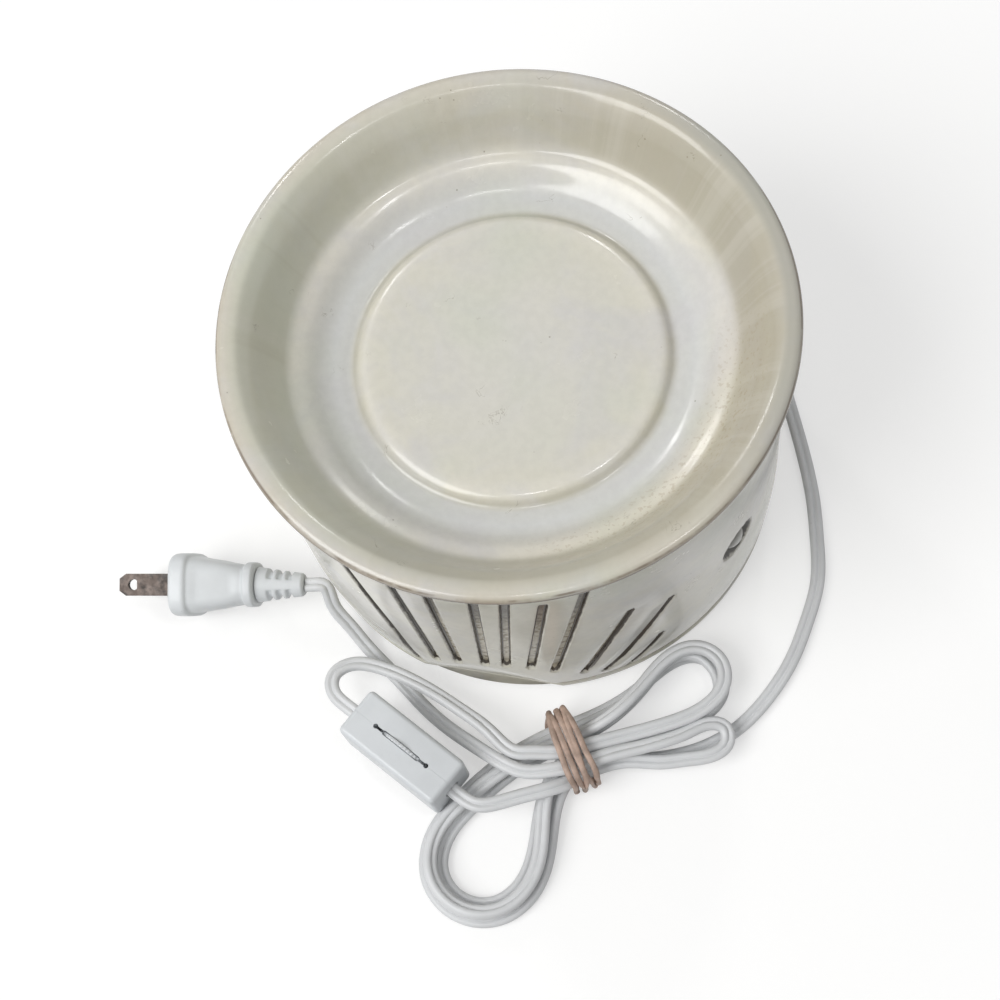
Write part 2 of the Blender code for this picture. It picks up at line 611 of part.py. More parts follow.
# grommet in the notch and the lead inside the foot
grommet = [(0.5 * CORD_D + GAP, BODY_IN_R + GAP), (GROMMET_R, BODY_IN_R + GAP), (GROMMET_R, BODY_R + 0.4),
           (GROMMET_FLANGE_R, BODY_R + 0.4), (GROMMET_FLANGE_R, GROMMET_FACE_R - 0.5),
           (GROMMET_FLANGE_R - 0.5, GROMMET_FACE_R), (0.5 * CORD_D + GAP, GROMMET_FACE_R)]
grommet_place = exit_turn @ Matrix.Translation((0, 0, EXIT_Z * MM)) @ ALONG_X
add_object("cord_grommet", lathe_mesh("cord_grommet", grommet, 24), WHITE, 0.6, 0.0, grommet_place)
lead_in = [polar(r, EXIT_AZ, EXIT_Z) for r in np.linspace(LEAD_IN_R, GROMMET_FACE_R + GAP, 7)]
tube("inner_lead", lead_in, CORD_D, 2, WHITE, 0.5)
out_dir = np.array(polar(1.0, EXIT_AZ, 0.0))
side_dir = np.array(polar(1.0, EXIT_AZ + 90.0, 0.0))
wire_route = [(LEAD_IN_R - GAP, EXIT_Z), (LEAD_IN_R - 2.5, EXIT_Z - 0.2), (8.0, EXIT_Z - 0.7),
              (4.0, EXIT_Z - 0.8), (1.3, EXIT_Z - 0.2), (0.2, EXIT_Z + 1.6), (0.0, FLOOR_UNDER - 1.5),
              (0.0, FLOOR_TOP - 1.0), (0.0, HOLDER_SHELF_Z0 - 0.8 - GAP)]
for name, sign in (("wire_live", 1.0), ("wire_neutral", -1.0)):
    route = [out_dir * r + side_dir * sign * WIRE_OFF + np.array((0.0, 0.0, z)) for r, z in wire_route]
    tube(name, smooth(route, 1.5), WIRE_D, 1, BRASS if sign > 0 else STEEL, 0.4, 0.0)

# cord: hank wound in loops about a bent axis
WAIST_AT = np.array(WAIST)
W_DIR = np.array(polar(1.0, WAIST_DIR, 0.0))[:2]
W_NORMAL = np.array((-W_DIR[1], W_DIR[0]))


def waist_point(x, y, z):
    p = WAIST_AT + x * W_DIR + y * W_NORMAL
    return (p[0], p[1], z)


def ease(u):
    return u * u * (3.0 - 2.0 * u)


def branch(end, end_dir, start_dir, u, off):
    """Point beside the hank's bent axis between its waist and one lobe."""
    p0 = WAIST_AT
    p1 = np.array(end)
    reach = np.linalg.norm(p1 - p0)
    t0 = np.array(polar(reach, start_dir, 0.0))[:2]
    t1 = np.array(polar(reach, end_dir, 0.0))[:2]
    p = ((2 * u ** 3 - 3 * u * u + 1) * p0 + (u ** 3 - 2 * u * u + u) * t0
         + (3 * u * u - 2 * u ** 3) * p1 + (u ** 3 - u * u) * t1)
    d = ((6 * u * u - 6 * u) * (p0 - p1) + (3 * u * u - 4 * u + 1) * t0 + (3 * u * u - 2 * u) * t1)
    d = d / np.linalg.norm(d)
    return p + off * np.array((-d[1], d[0]))


def hank_route():
    pts = [waist_point(6.0, -OUT_OFF - 0.2, Z_WAIST), waist_point(3.0, -OUT_OFF - 0.1, Z_WAIST)]
    base = [Z_WAIST + (Z_TABLE - Z_WAIST) * ease(u) for u in (0.35, 0.7)]
    low_r = (LOW_R, LOW_R - PITCH, LOW_R - 1.7)
    offs = (OUT_OFF, IN_OFF, IN_OFF)
    tip = (0.0, -1.2, 0.8)
    for k in range(HANK_LOOPS):
        low_z = LAYER * max(0, k - 1)
        up_z = LAYER * k
        pts.append(waist_point(0.0, -offs[k], Z_WAIST + low_z))
        for u, z in zip((0.35, 0.7), base):
            q = branch(LOW_C, LOW_DIR, WAIST_DIR + 180.0, u, offs[k] + (low_r[k] - offs[k]) * ease(u))
            pts.append((q[0], q[1], z + low_z))
        for j in range(5):
            q = polar(low_r[k], LOW_DIR + 90.0 - 45.0 * j, Z_TABLE + low_z)
            pts.append((LOW_C[0] + q[0], LOW_C[1] + q[1], q[2]))
        for u, z in zip((0.7, 0.35), base[::-1]):
            q = branch(LOW_C, LOW_DIR, WAIST_DIR + 180.0, u, -offs[k] - (low_r[k] - offs[k]) * ease(u))
            pts.append((q[0], q[1], z + low_z))
        pts.append(waist_point(0.0, offs[k], Z_WAIST + low_z))
        for u, z in zip((0.35, 0.7), base):
            late = ease(max(0.0, (u - 0.25) / 0.75))
            q = branch(UP_C, UP_DIR, WAIST_DIR, u, offs[k] + (UP_R - offs[k]) * late)
            pts.append((q[0], q[1], z + up_z))
        for j in range(5):
            q = polar(UP_R, UP_DIR + 90.0 - 45.0 * j, Z_TABLE + up_z)
            reach = polar(tip[k] * math.sin(math.pi * j / 4.0), UP_DIR, 0.0)
            pts.append((UP_C[0] + q[0] + reach[0], UP_C[1] + q[1] + reach[1], q[2]))
        for u, z in zip((0.7, 0.35), base[::-1]):
            q = branch(UP_C, UP_DIR, WAIST_DIR, u, -IN_OFF - (UP_R - IN_OFF) * ease(u))
            pts.append((q[0], q[1], z + up_z))
    top = Z_WAIST + 2.0 * LAYER
    pts += [waist_point(0.0, -1.7, top), waist_point(-5.5, -0.6, top), waist_point(-11.0, 1.6, top)]
    return pts


def least_gap(points, diameter):
    p = smooth(points, 0.8)
    s = np.concatenate([[0.0], np.cumsum(np.linalg.norm(np.diff(p, axis=0), axis=1))])
    best = 1e9
    for i in range(len(p)):
        d = np.linalg.norm(p - p[i], axis=1)
        d[np.abs(s - s[i]) < 3.2 * diameter] = 1e9
        best = min(best, float(d.min()))
    return best - diameter, float(s[-1])


def beyond(route, reach):
    """Point past the end of a route, on its last straight."""
    a = np.array(route[-2])
    b = np.array(route[-1])
    return tuple(b + (b - a) / np.linalg.norm(b - a) * reach)


def switch_end(k):
    d = polar(k, SWITCH_YAW, 0.0)
    return (SWITCH_C[0] + d[0], SWITCH_C[1] + d[1], SWITCH_C[2])


PLUG_TAIL = polar(BODY_R + PLUG_AWAY, PLUG_AZ, PLUG_Z)
PLUG_TURN = (Matrix.Rotation(math.radians(PLUG_YAW), 3, "Z")
             @ Matrix.Rotation(math.radians(PLUG_PITCH), 3, "Y")
             @ Matrix.Rotation(math.radians(PLUG_ROLL), 3, "X"))


def plug_point(k):
    return tuple(Vector(PLUG_TAIL) + PLUG_TURN @ Vector((k, 0.0, 0.0)))


def by_waist(x, y, z):
    return (WAIST[0] + x, WAIST[1] + y, z)


def by_wall(away, az, z=Z_TABLE):
    return polar(BODY_R + away, az, z)


hank = hank_route()
W1 = Z_WAIST + LAYER
W2 = W1 + LAYER + 0.1
HALF = 0.5 * SWITCH_L
lead_route = [
    polar(GROMMET_FACE_R + 2.0 * GAP, EXIT_AZ, EXIT_Z), by_wall(7.5, EXIT_AZ, EXIT_Z - 0.2),
    by_wall(13.5, EXIT_AZ - 1.0, 4.5), by_wall(21.7, 93.7, 2.3), by_wall(24.0, 83.9), by_wall(21.3, 69.6),
    by_wall(16.5, 52.5), by_wall(11.6, 34.1), by_wall(8.1, 16.2), by_wall(6.5, -1.5), by_wall(8.1, -11.7),
    by_wall(11.6, -22.2), by_wall(15.1, -30.2), by_wall(19.3, -37.8), by_wall(22.1, -45.4),
    by_waist(66.0, 12.0, Z_TABLE), by_waist(58.0, 4.0, Z_TABLE), by_waist(47.0, -3.5, Z_TABLE),
    by_waist(35.0, -7.2, 2.3), waist_point(18.0, -9.8, 2.8), waist_point(11.5, -7.8, 3.6),
    waist_point(6.0 + GAP, -OUT_OFF - 0.2, Z_WAIST)]
switch_route = [
    beyond(hank, GAP), beyond(hank, 3.5), by_waist(-20.5, 7.5, 12.4), by_waist(-27.0, 15.5, 11.0),
    by_waist(-34.0, 23.0, 9.4), by_waist(-42.0, 30.0, 8.8), by_waist(-49.5, 34.8, 9.0),
    by_waist(-56.5, 36.4, 10.0), by_waist(-61.2, 33.8, 11.2), by_waist(-61.8, 28.8, 12.2),
    switch_end(-HALF - 4.5), switch_end(-HALF - GAP)]
plug_route = [
    switch_end(HALF + GAP), switch_end(HALF + 3.2), by_waist(-28.2, -11.2, 12.6),
    by_waist(-22.5, -11.9, 12.6), by_waist(-16.3, -11.5, 12.5), by_waist(-10.0, -11.2, 12.2),
    waist_point(-5.0, -9.5, 10.4), waist_point(0.0, -8.6, 8.8), waist_point(6.0, -8.3, W1),
    waist_point(13.0, -9.4, 8.0), by_waist(23.0, -9.4, 7.4), by_waist(31.0, -10.2, 7.0),
    by_waist(38.0, -10.4, 6.9), by_waist(42.6, -7.8, 7.0), by_waist(42.8, -3.9, 7.6),
    by_waist(38.8, -2.1, 8.6), by_waist(32.5, -3.4, 9.8), waist_point(24.6, -8.6, 11.0),
    waist_point(17.0, -8.0, 11.9), waist_point(9.0, -7.0, W2), waist_point(0.0, -6.5, W2),
    waist_point(-7.0, -5.2, W2), by_waist(-13.5, -5.0, 12.3), by_waist(-20.5, 0.0, 11.8),
    by_waist(-27.0, 7.0, 8.6), by_waist(-33.0, 14.2, 4.4), by_waist(-38.5, 22.0, 2.2),
    by_waist(-43.0, 29.5, Z_TABLE), by_wall(5.2, -136.6), by_wall(4.0, -143.0, 3.4),
    by_wall(3.4, -148.6, 7.2), by_wall(3.2, -153.3, 11.8), plug_point(-5.2), plug_point(-2.2),
    plug_point(-GAP)]
STEP_LEAD = 7.0
STEP_FREE = 4.2
STEP_HANK = 5.0
gap_mm, hank_len = least_gap(hank, CORD_D)
print("hank least gap mm", round(gap_mm, 2), "length mm", round(hank_len, 1))
cords = (("lead_cord", lead_route, STEP_LEAD), ("cord_hank", hank, STEP_HANK),
         ("switch_cord", switch_route, STEP_FREE), ("plug_cord", plug_route, STEP_FREE))
for name, route, step in cords:
    sides = 1 if name == "cord_hank" else 2
    tube(name, smooth(route, step), CORD_D, sides, WHITE, 0.5)
    runs = np.linalg.norm(np.diff(smooth(route, 0.8), axis=0), axis=1)
    print(name, "length mm", round(float(runs.sum()), 1))

# rubber band wound round the waist
band_mid = Z_WAIST + LAYER + 0.8
band_pts = []
per_turn = 20
for i in range(BAND_TURNS * per_turn + 1):
    a = 2.0 * math.pi * i / per_turn - 0.5 * math.pi
    c = math.cos(a)
    s = math.sin(a)
    y = BAND_HALF_W * math.copysign(abs(c) ** BAND_SQUARE, c)
    z = band_mid + BAND_HALF_H * math.copysign(abs(s) ** BAND_SQUARE, s)
    x = BAND_PITCH * (i / per_turn - 0.5 * BAND_TURNS)
    band_pts.append(waist_point(x, y, z))
tube("hank_band", band_pts, BAND_D, 1, TAN, 0.7)

# inline switch: two half shells, thumbwheel on an axle, contacts and a screw
switch_place = yawed(SWITCH_C, SWITCH_YAW)
half_t = 0.5 * SWITCH_T
for name, sign in (("switch_shell_1", 1.0), ("switch_shell_2", -1.0)):
    outline = round_rect(HALF, 0.5 * SWITCH_H, 2.0)
    lip = round_rect(HALF - 1.2, 0.5 * SWITCH_H - 1.2, 1.4)
    levels = [(0.5 * GAP, outline), (half_t - 1.2, outline), (half_t, lip)]
    rings = [[(x, sign * y, z) for x, z in shape] for y, shape in levels]
    half = add_object(name, loft_mesh(name, rings), WHITE, 0.35, 0.0, switch_place)
    slot_lo = (-0.5 * SLOT_L, -1.0 if sign > 0 else -0.5 * WHEEL_T - SLOT_EASE, -SWITCH_H)
    slot_hi = (0.5 * SLOT_L, 0.5 * WHEEL_T + SLOT_EASE if sign > 0 else 1.0, SWITCH_H)
    boolean(half, cutter(name + "_slot", box_mesh("slot", slot_lo, slot_hi), switch_place), "DIFFERENCE")
    well = cylinder_mesh("well", WHEEL_R + FIT, -0.5 * WHEEL_T - FIT, 0.5 * WHEEL_T + FIT, 32)
    boolean(half, cutter(name + "_well", well, switch_place @ ALONG_Y), "DIFFERENCE")
    pocket_y = (-1.0, 3.4) if sign > 0 else (-3.4, 1.0)
    for end in (-1.0, 1.0):
        x0, x1 = sorted((end * (0.5 * SLOT_L - 1.0), end * (HALF - 2.4)))
        pocket = box_mesh("pocket", (x0, pocket_y[0], -4.6), (x1, pocket_y[1], 1.2))
        boolean(half, cutter(f"{name}_pocket_{'ab'[end > 0]}", pocket, switch_place), "DIFFERENCE")
    axle_hole = cylinder_mesh("axle_hole", AXLE_R + GAP, -0.5 * AXLE_L - GAP, 0.5 * AXLE_L + GAP, 16)
    boolean(half, cutter(name + "_axle", axle_hole, switch_place @ ALONG_Y), "DIFFERENCE")
    screw_hole = lathe_mesh("screw_hole", [
        (0.0, -3.6), (AXLE_R + GAP, -3.6), (AXLE_R + GAP, half_t - 1.6),
        (SWITCH_SCREW_HEAD + GAP, half_t - 1.6),
        (SWITCH_SCREW_HEAD + GAP, half_t + 1.0), (0.0, half_t + 1.0)], 16)
    screw_at = Matrix.Translation((SWITCH_SCREW_X * MM, 0.0, SWITCH_SCREW_Z * MM)) @ ALONG_Y
    boolean(half, cutter(name + "_screw", screw_hole, switch_place @ screw_at), "DIFFERENCE")
screw_seat = half_t - 1.6 + GAP
screw_profile = [(0.0, -3.2), (AXLE_R, -3.2), (AXLE_R, screw_seat), (SWITCH_SCREW_HEAD, screw_seat),
                 (SWITCH_SCREW_HEAD, half_t - 0.2), (0.0, half_t - 0.2)]
screw_mesh = lathe_mesh("switch_screw", screw_profile, 16)
add_object("switch_screw", screw_mesh, STEEL, 0.35, 1.0, switch_place @ screw_at)


def knurl(r, z, a):
    if r < WHEEL_R - 0.1:
        return r
    return r - 0.35 * (round(a / (2.0 * math.pi) * 48) % 2)


wheel_profile = [(AXLE_R + GAP, -0.5 * WHEEL_T), (WHEEL_R - 0.5, -0.5 * WHEEL_T), (WHEEL_R, -0.3 * WHEEL_T),
                 (WHEEL_R, 0.3 * WHEEL_T), (WHEEL_R - 0.5, 0.5 * WHEEL_T), (AXLE_R + GAP, 0.5 * WHEEL_T)]
wheel_mesh = lathe_mesh("switch_wheel", wheel_profile, 48, knurl)
wheel = add_object("switch_wheel", wheel_mesh, WHITE, 0.35, 0.0, ALONG_Y)
wheel.matrix_world = switch_place
axle = [(0.0, -0.5 * AXLE_L), (AXLE_R, -0.5 * AXLE_L), (AXLE_R, 0.5 * AXLE_L), (0.0, 0.5 * AXLE_L)]
add_object("switch_axle", lathe_mesh("switch_axle", axle, 16), STEEL, 0.35, 1.0, switch_place @ ALONG_Y)
for name, end in (("switch_contact_1", -1.0), ("switch_contact_2", 1.0)):
    x0, x1 = sorted((end * (WHEEL_R + 0.5), end * (HALF - 2.8)))
    add_object(name, box_mesh(name, (x0, -1.2, -4.2), (x1, 1.2, -1.4)), BRASS, 0.3, 1.0, switch_place)

# plug: moulded body, ribbed strain relief, two flat blades
plug_place = Matrix.Translation(Vector(PLUG_TAIL) * MM) @ PLUG_TURN.to_4x4()
ribs = []
rib_w = (RELIEF_L - 0.8) / RIB_COUNT
for k in range(RIB_COUNT):
    x = 0.2 + rib_w * k
    r = RELIEF_R + RELIEF_GROW * k / RIB_COUNT
    ribs += [(r, x), (r + RIB_H, x + 0.15 * rib_w), (r + RIB_H, x + 0.6 * rib_w), (r, x + 0.75 * rib_w)]
relief_end = RELIEF_R + RELIEF_GROW
relief = [(0.0, 0.0), (RELIEF_R - RIB_H, 0.0)] + ribs + [(relief_end, RELIEF_L - GAP), (0.0, RELIEF_L - GAP)]
add_object("plug_relief", lathe_mesh("plug_relief", relief, 14), WHITE, 0.45, 0.0, plug_place @ ALONG_X)
sections = [
    (0.0, 0.64, 0.58), (0.5, 0.70, 0.62), (2.8, 0.71, 0.63), (3.3, 0.63, 0.58), (6.4, 0.68, 0.65),
    (10.9, 0.77, 0.75), (15.3, 0.84, 0.85), (18.0, 0.90, 0.92), (19.2, 1.0, 1.0),
    (PLUG_L - 0.6, 1.0, 1.0), (PLUG_L, 0.94, 0.95)]
plug_rings = []
for x, wide, high in sections:
    outline = round_rect(PLUG_HALF_W * wide, PLUG_HALF_H * high, 0.55 * PLUG_HALF_W * wide, 4)
    plug_rings.append([(RELIEF_L + x, y, z) for y, z in outline])
add_object("plug_body", loft_mesh("plug_body", plug_rings), WHITE, 0.4, 0.0, plug_place)
face_x = RELIEF_L + PLUG_L + GAP
for name, sign in (("plug_blade_1", 1.0), ("plug_blade_2", -1.0)):
    hw = 0.5 * BLADE_W
    tip_x = face_x + BLADE_L
    outline = [(face_x, -hw), (tip_x - 2.0, -hw), (tip_x, -hw + 1.4), (tip_x, hw - 1.4), (tip_x - 2.0, hw),
               (face_x, hw)]
    z = 0.5 * sign * BLADE_PITCH
    mesh = prism_mesh(name, outline, z - 0.5 * BLADE_T, z + 0.5 * BLADE_T)
    blade = add_object(name, mesh, BRASS, 0.3, 1.0, plug_place)
    hole = cylinder_mesh("blade_hole", BLADE_HOLE_R, z - BLADE_T, z + BLADE_T, 16)
    hole.transform(Matrix.Translation(((face_x + BLADE_L - BLADE_HOLE_IN) * MM, 0.0, 0.0)))
    boolean(blade, cutter(name + "_hole", hole, plug_place), "DIFFERENCE")
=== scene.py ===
import math

import bmesh
import bpy
import numpy as np
from mathutils import Matrix, Vector


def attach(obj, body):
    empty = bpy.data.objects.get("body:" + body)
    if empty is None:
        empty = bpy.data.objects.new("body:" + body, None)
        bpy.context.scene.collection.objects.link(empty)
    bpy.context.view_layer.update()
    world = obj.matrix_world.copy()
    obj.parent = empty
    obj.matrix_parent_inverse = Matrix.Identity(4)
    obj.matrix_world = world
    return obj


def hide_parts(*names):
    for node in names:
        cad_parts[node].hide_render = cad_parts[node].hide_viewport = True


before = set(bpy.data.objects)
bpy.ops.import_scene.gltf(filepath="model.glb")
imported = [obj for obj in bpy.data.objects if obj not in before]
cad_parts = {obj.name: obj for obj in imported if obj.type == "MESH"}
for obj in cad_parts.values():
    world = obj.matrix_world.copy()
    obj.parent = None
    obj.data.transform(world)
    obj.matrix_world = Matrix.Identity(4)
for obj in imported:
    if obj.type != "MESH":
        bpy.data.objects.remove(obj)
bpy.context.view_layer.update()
mm = 0.001
print("frame loaded", len(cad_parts), "nodes")


# small mesh helpers

def newPiece(name, mesh, material, body, replaced=()):
    mesh.materials.clear()
    mesh.materials.append(material)
    piece = bpy.data.objects.new(name, mesh)
    bpy.context.scene.collection.objects.link(piece)
    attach(piece, body)
    if replaced:
        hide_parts(*replaced)
    return piece


def closeMesh(bm, name, sharpAngle=40.0, turn=None):
    bmesh.ops.remove_doubles(bm, verts=bm.verts[:], dist=0.000004)
    bmesh.ops.recalc_face_normals(bm, faces=bm.faces[:])
    if turn is not None:
        bmesh.ops.transform(bm, matrix=turn, verts=bm.verts[:])
    mesh = bpy.data.meshes.new(name)
    bm.to_mesh(mesh)
    bm.free()
    mesh.shade_smooth()
    mesh.set_sharp_from_angle(angle=math.radians(sharpAngle))
    return mesh


def roundedProfile(points, rounds, steps=5):
    # each corner listed in rounds becomes an arc-like fillet of that size, in millimetres
    out = []
    count = len(points)
    for i, here in enumerate(points):
        size = rounds.get(i, 0.0)
        if size <= 0.0:
            out.append(here)
            continue
        p = Vector(here)
        a = Vector(points[i - 1]) - p
        b = Vector(points[(i + 1) % count]) - p
        a = a.normalized() * min(size, 0.48 * a.length)
        b = b.normalized() * min(size, 0.48 * b.length)
        for k in range(steps + 1):
            t = k / steps
            q = p + a * (1.0 - t) ** 2 + b * t * t
            out.append((q.x, q.y))
    return out


def smoothLine(points, step):
    # natural cubic curve through given points, read at an even step
    p = np.asarray(points, float)
    n = len(p)
    u = np.concatenate([[0.0], np.cumsum(np.linalg.norm(np.diff(p, axis=0), axis=1))])
    a = np.eye(n)
    b = np.zeros_like(p)
    for i in range(1, n - 1):
        h0 = u[i] - u[i - 1]
        h1 = u[i + 1] - u[i]
        a[i, i - 1:i + 2] = (h0, 2.0 * (h0 + h1), h1)
        b[i] = 6.0 * ((p[i + 1] - p[i]) / h1 - (p[i] - p[i - 1]) / h0)
    m = np.linalg.solve(a, b)
    s = np.linspace(0.0, u[-1], int(math.ceil(u[-1] / step)) + 1)
    i = np.clip(np.searchsorted(u, s) - 1, 0, n - 2)
    h = u[i + 1] - u[i]
    f = ((u[i + 1] - s) / h)[:, None]
    g = ((s - u[i]) / h)[:, None]
    h = h[:, None]
    return f * p[i] + g * p[i + 1] + ((f ** 3 - f) * m[i] + (g ** 3 - g) * m[i + 1]) * h * h / 6.0


def spinMesh(name, profile, steps, closed, turn=None, sharpAngle=40.0):
    # profile in millimetres as (radius, height), spun about Z
    bm = bmesh.new()
    verts = [bm.verts.new((r * mm, 0.0, z * mm)) for r, z in profile]
    edges = [bm.edges.new(pair) for pair in zip(verts, verts[1:])]
    if closed:
        edges.append(bm.edges.new((verts[-1], verts[0])))
    bmesh.ops.spin(bm, geom=verts + edges, cent=(0, 0, 0), axis=(0, 0, 1), dvec=(0, 0, 0),
                   angle=2.0 * math.pi, steps=steps, use_merge=True, use_duplicate=False)
    return closeMesh(bm, name, sharpAngle, turn)


def loftMesh(name, rings, turn=None, sharpAngle=40.0):
    # skin bridged over equal rings of points in millimetres, with flat ends
    bm = bmesh.new()
    loops = []
    for ring in rings:
        verts = [bm.verts.new(Vector(p) * mm) for p in ring]
        loops.append([bm.edges.new(pair) for pair in zip(verts, verts[1:] + verts[:1])])
    for a, b in zip(loops, loops[1:]):
        bmesh.ops.bridge_loops(bm, edges=a + b)
    bmesh.ops.edgeloop_fill(bm, edges=loops[0] + loops[-1])
    return closeMesh(bm, name, sharpAngle, turn)


def cutWith(piece, meshes, operation):
    # one boolean with all the tools together, applied at once
    bm = bmesh.new()
    for mesh in meshes:
        bm.from_mesh(mesh)
        bpy.data.meshes.remove(mesh)
    tool = bpy.data.objects.new("tool", closeMesh(bm, "tool"))
    bpy.context.scene.collection.objects.link(tool)
    cut = piece.modifiers.new("cut", "BOOLEAN")
    cut.operation = operation
    cut.solver = "MANIFOLD"
    cut.object = tool
    bpy.context.view_layer.objects.active = piece
    bpy.ops.object.modifier_apply(modifier=cut.name)
    bpy.data.objects.remove(tool)


def boxMesh(name, low, high, turn=None):
    low = Vector(low) * mm
    high = Vector(high) * mm
    bm = bmesh.new()
    bmesh.ops.create_cube(bm, size=1.0)
    bmesh.ops.scale(bm, vec=high - low, verts=bm.verts[:])
    bmesh.ops.translate(bm, vec=(low + high) * 0.5, verts=bm.verts[:])
    return closeMesh(bm, name, 40.0, turn)


def meshPoints(mesh):
    co = np.zeros(len(mesh.vertices) * 3)
    mesh.vertices.foreach_get("co", co)
    return co.reshape(-1, 3) / mm


def movePoints(mesh, points):
    mesh.vertices.foreach_set("co", (points * mm).ravel())
    mesh.update()


def easeStep(low, high, value):
    t = np.clip((value - low) / (high - low), 0.0, 1.0)
    return t * t * (3.0 - 2.0 * t)


def polar(r, azimuth, z=0.0):
    return (r * math.cos(math.radians(azimuth)), r * math.sin(math.radians(azimuth)), z)


def placed(at, yaw, pitch=0.0, roll=0.0):
    return (Matrix.Translation(Vector(at) * mm) @ Matrix.Rotation(math.radians(yaw), 4, "Z")
            @ Matrix.Rotation(math.radians(pitch), 4, "Y") @ Matrix.Rotation(math.radians(roll), 4, "X"))


alongX = Matrix.Rotation(math.radians(90.0), 4, "Y")
alongY = Matrix.Rotation(math.radians(-90.0), 4, "X")


# node helpers for the finishes

class Finish:
    def __init__(self, name):
        self.material = bpy.data.materials.new(name)
        self.material.use_nodes = True
        self.tree = self.material.node_tree
        self.shader = self.tree.nodes["Principled BSDF"]
        self.coords = self.tree.nodes.new("ShaderNodeTexCoord").outputs["Object"]

    def put(self, socket, value):
        if isinstance(value, bpy.types.NodeSocket):
            self.tree.links.new(value, socket)
        elif isinstance(value, (tuple, list)) and len(value) == 3 and socket.type == "RGBA":
            socket.default_value = (*value, 1.0)
        else:
            socket.default_value = value

    def set(self, **values):
        names = {"colour": "Base Color", "rough": "Roughness", "metal": "Metallic", "coat": "Coat Weight",
                 "coatRough": "Coat Roughness", "ior": "IOR", "glass": "Transmission Weight",
                 "normal": "Normal"}
        for key, value in values.items():
            self.put(self.shader.inputs[names[key]], value)
        return self

    def math(self, operation, a, b=0.0, c=0.0):
        node = self.tree.nodes.new("ShaderNodeMath")
        node.operation = operation
        for socket, value in zip(node.inputs, (a, b, c)):
            self.put(socket, value)
        return node.outputs[0]

    def times(self, first, *rest):
        for value in rest:
            first = self.math("MULTIPLY", first, value)
        return first

    def vector(self, operation, a, b=(0.0, 0.0, 0.0)):
        node = self.tree.nodes.new("ShaderNodeVectorMath")
        node.operation = operation
        self.put(node.inputs[0], a)
        self.put(node.inputs[1], b)
        return node.outputs["Value" if operation in ("LENGTH", "DOT_PRODUCT") else "Vector"]

    def noise(self, scale, detail=3.0, rough=0.55, shift=None, vector=None, warp=0.0):
        node = self.tree.nodes.new("ShaderNodeTexNoise")
        spot = self.coords if vector is None else vector
        if shift is not None:
            spot = self.vector("ADD", spot, shift)
        self.put(node.inputs["Vector"], spot)
        node.inputs["Scale"].default_value = scale
        node.inputs["Detail"].default_value = detail
        node.inputs["Roughness"].default_value = rough
        node.inputs["Distortion"].default_value = warp
        return node.outputs["Fac"]

    def cells(self, scale):
        node = self.tree.nodes.new("ShaderNodeTexVoronoi")
        self.put(node.inputs["Vector"], self.coords)
        node.inputs["Scale"].default_value = scale
        return node.outputs["Distance"]

    def ramp(self, factor, stops, smooth=True):
        node = self.tree.nodes.new("ShaderNodeValToRGB")
        node.color_ramp.interpolation = "EASE" if smooth else "LINEAR"
        line = node.color_ramp.elements
        while len(line) < len(stops):
            line.new(0.5)
        for element, (place, colour) in zip(line, stops):
            element.position = place
            shade = colour if isinstance(colour, (tuple, list)) else (colour,) * 3
            element.color = (*shade, 1.0)
        self.put(node.inputs["Fac"], factor)
        return node.outputs["Color"]

    def step(self, value, low, high, a=0.0, b=1.0):
        node = self.tree.nodes.new("ShaderNodeMapRange")
        node.interpolation_type = "SMOOTHSTEP"
        for socket, v in zip(node.inputs, (value, low, high, a, b)):
            self.put(socket, v)
        return node.outputs[0]

    def mix(self, factor, a, b, mode="MIX"):
        node = self.tree.nodes.new("ShaderNodeMix")
        node.data_type = "RGBA"
        node.blend_type = mode
        self.put(node.inputs[0], factor)
        self.put(node.inputs[6], a)
        self.put(node.inputs[7], b)
        return node.outputs[2]

    def bump(self, height, distance, strength=0.6, under=None):
        node = self.tree.nodes.new("ShaderNodeBump")
        node.inputs["Strength"].default_value = strength
        node.inputs["Distance"].default_value = distance
        self.put(node.inputs["Height"], height)
        if under is not None:
            self.put(node.inputs["Normal"], under)
        return node.outputs["Normal"]

    def parts(self):
        node = self.tree.nodes.new("ShaderNodeSeparateXYZ")
        self.put(node.inputs[0], self.coords)
        return node.outputs

    def attribute(self, name):
        node = self.tree.nodes.new("ShaderNodeAttribute")
        node.attribute_name = name
        return node.outputs["Fac"]


# glazes

glazeLook = {
    "lavender": (0.585, 0.575, 0.58), "moss": (0.575, 0.60, 0.50), "olive": (0.47, 0.45, 0.35),
    "pale": (0.64, 0.62, 0.55), "washAndShade": (0.042, 0.030, 0.020), "pit": (0.20, 0.17, 0.12),
    "rough": (0.14, 0.30), "coat": 0.15, "coatRough": 0.06}


def glazeClouds(f, base):
    # pearl glaze drifts between cream, a cool lavender and a faint green
    drift = f.step(f.noise(34.0, 4.0, 0.6, warp=0.8), 0.40, 0.68)
    green = f.step(f.noise(24.0, 3.0, 0.55, (0.31, 0.12, 0.44)), 0.46, 0.70)
    colour = f.mix(f.times(drift, 0.55), base, glazeLook["lavender"])
    colour = f.mix(f.times(green, 0.45), colour, glazeLook["moss"])
    fine = f.noise(420.0, 3.0, 0.6)
    return f.mix(0.12, colour, f.ramp(fine, [(0.30, 0.60), (0.70, 1.0)]), "MULTIPLY")


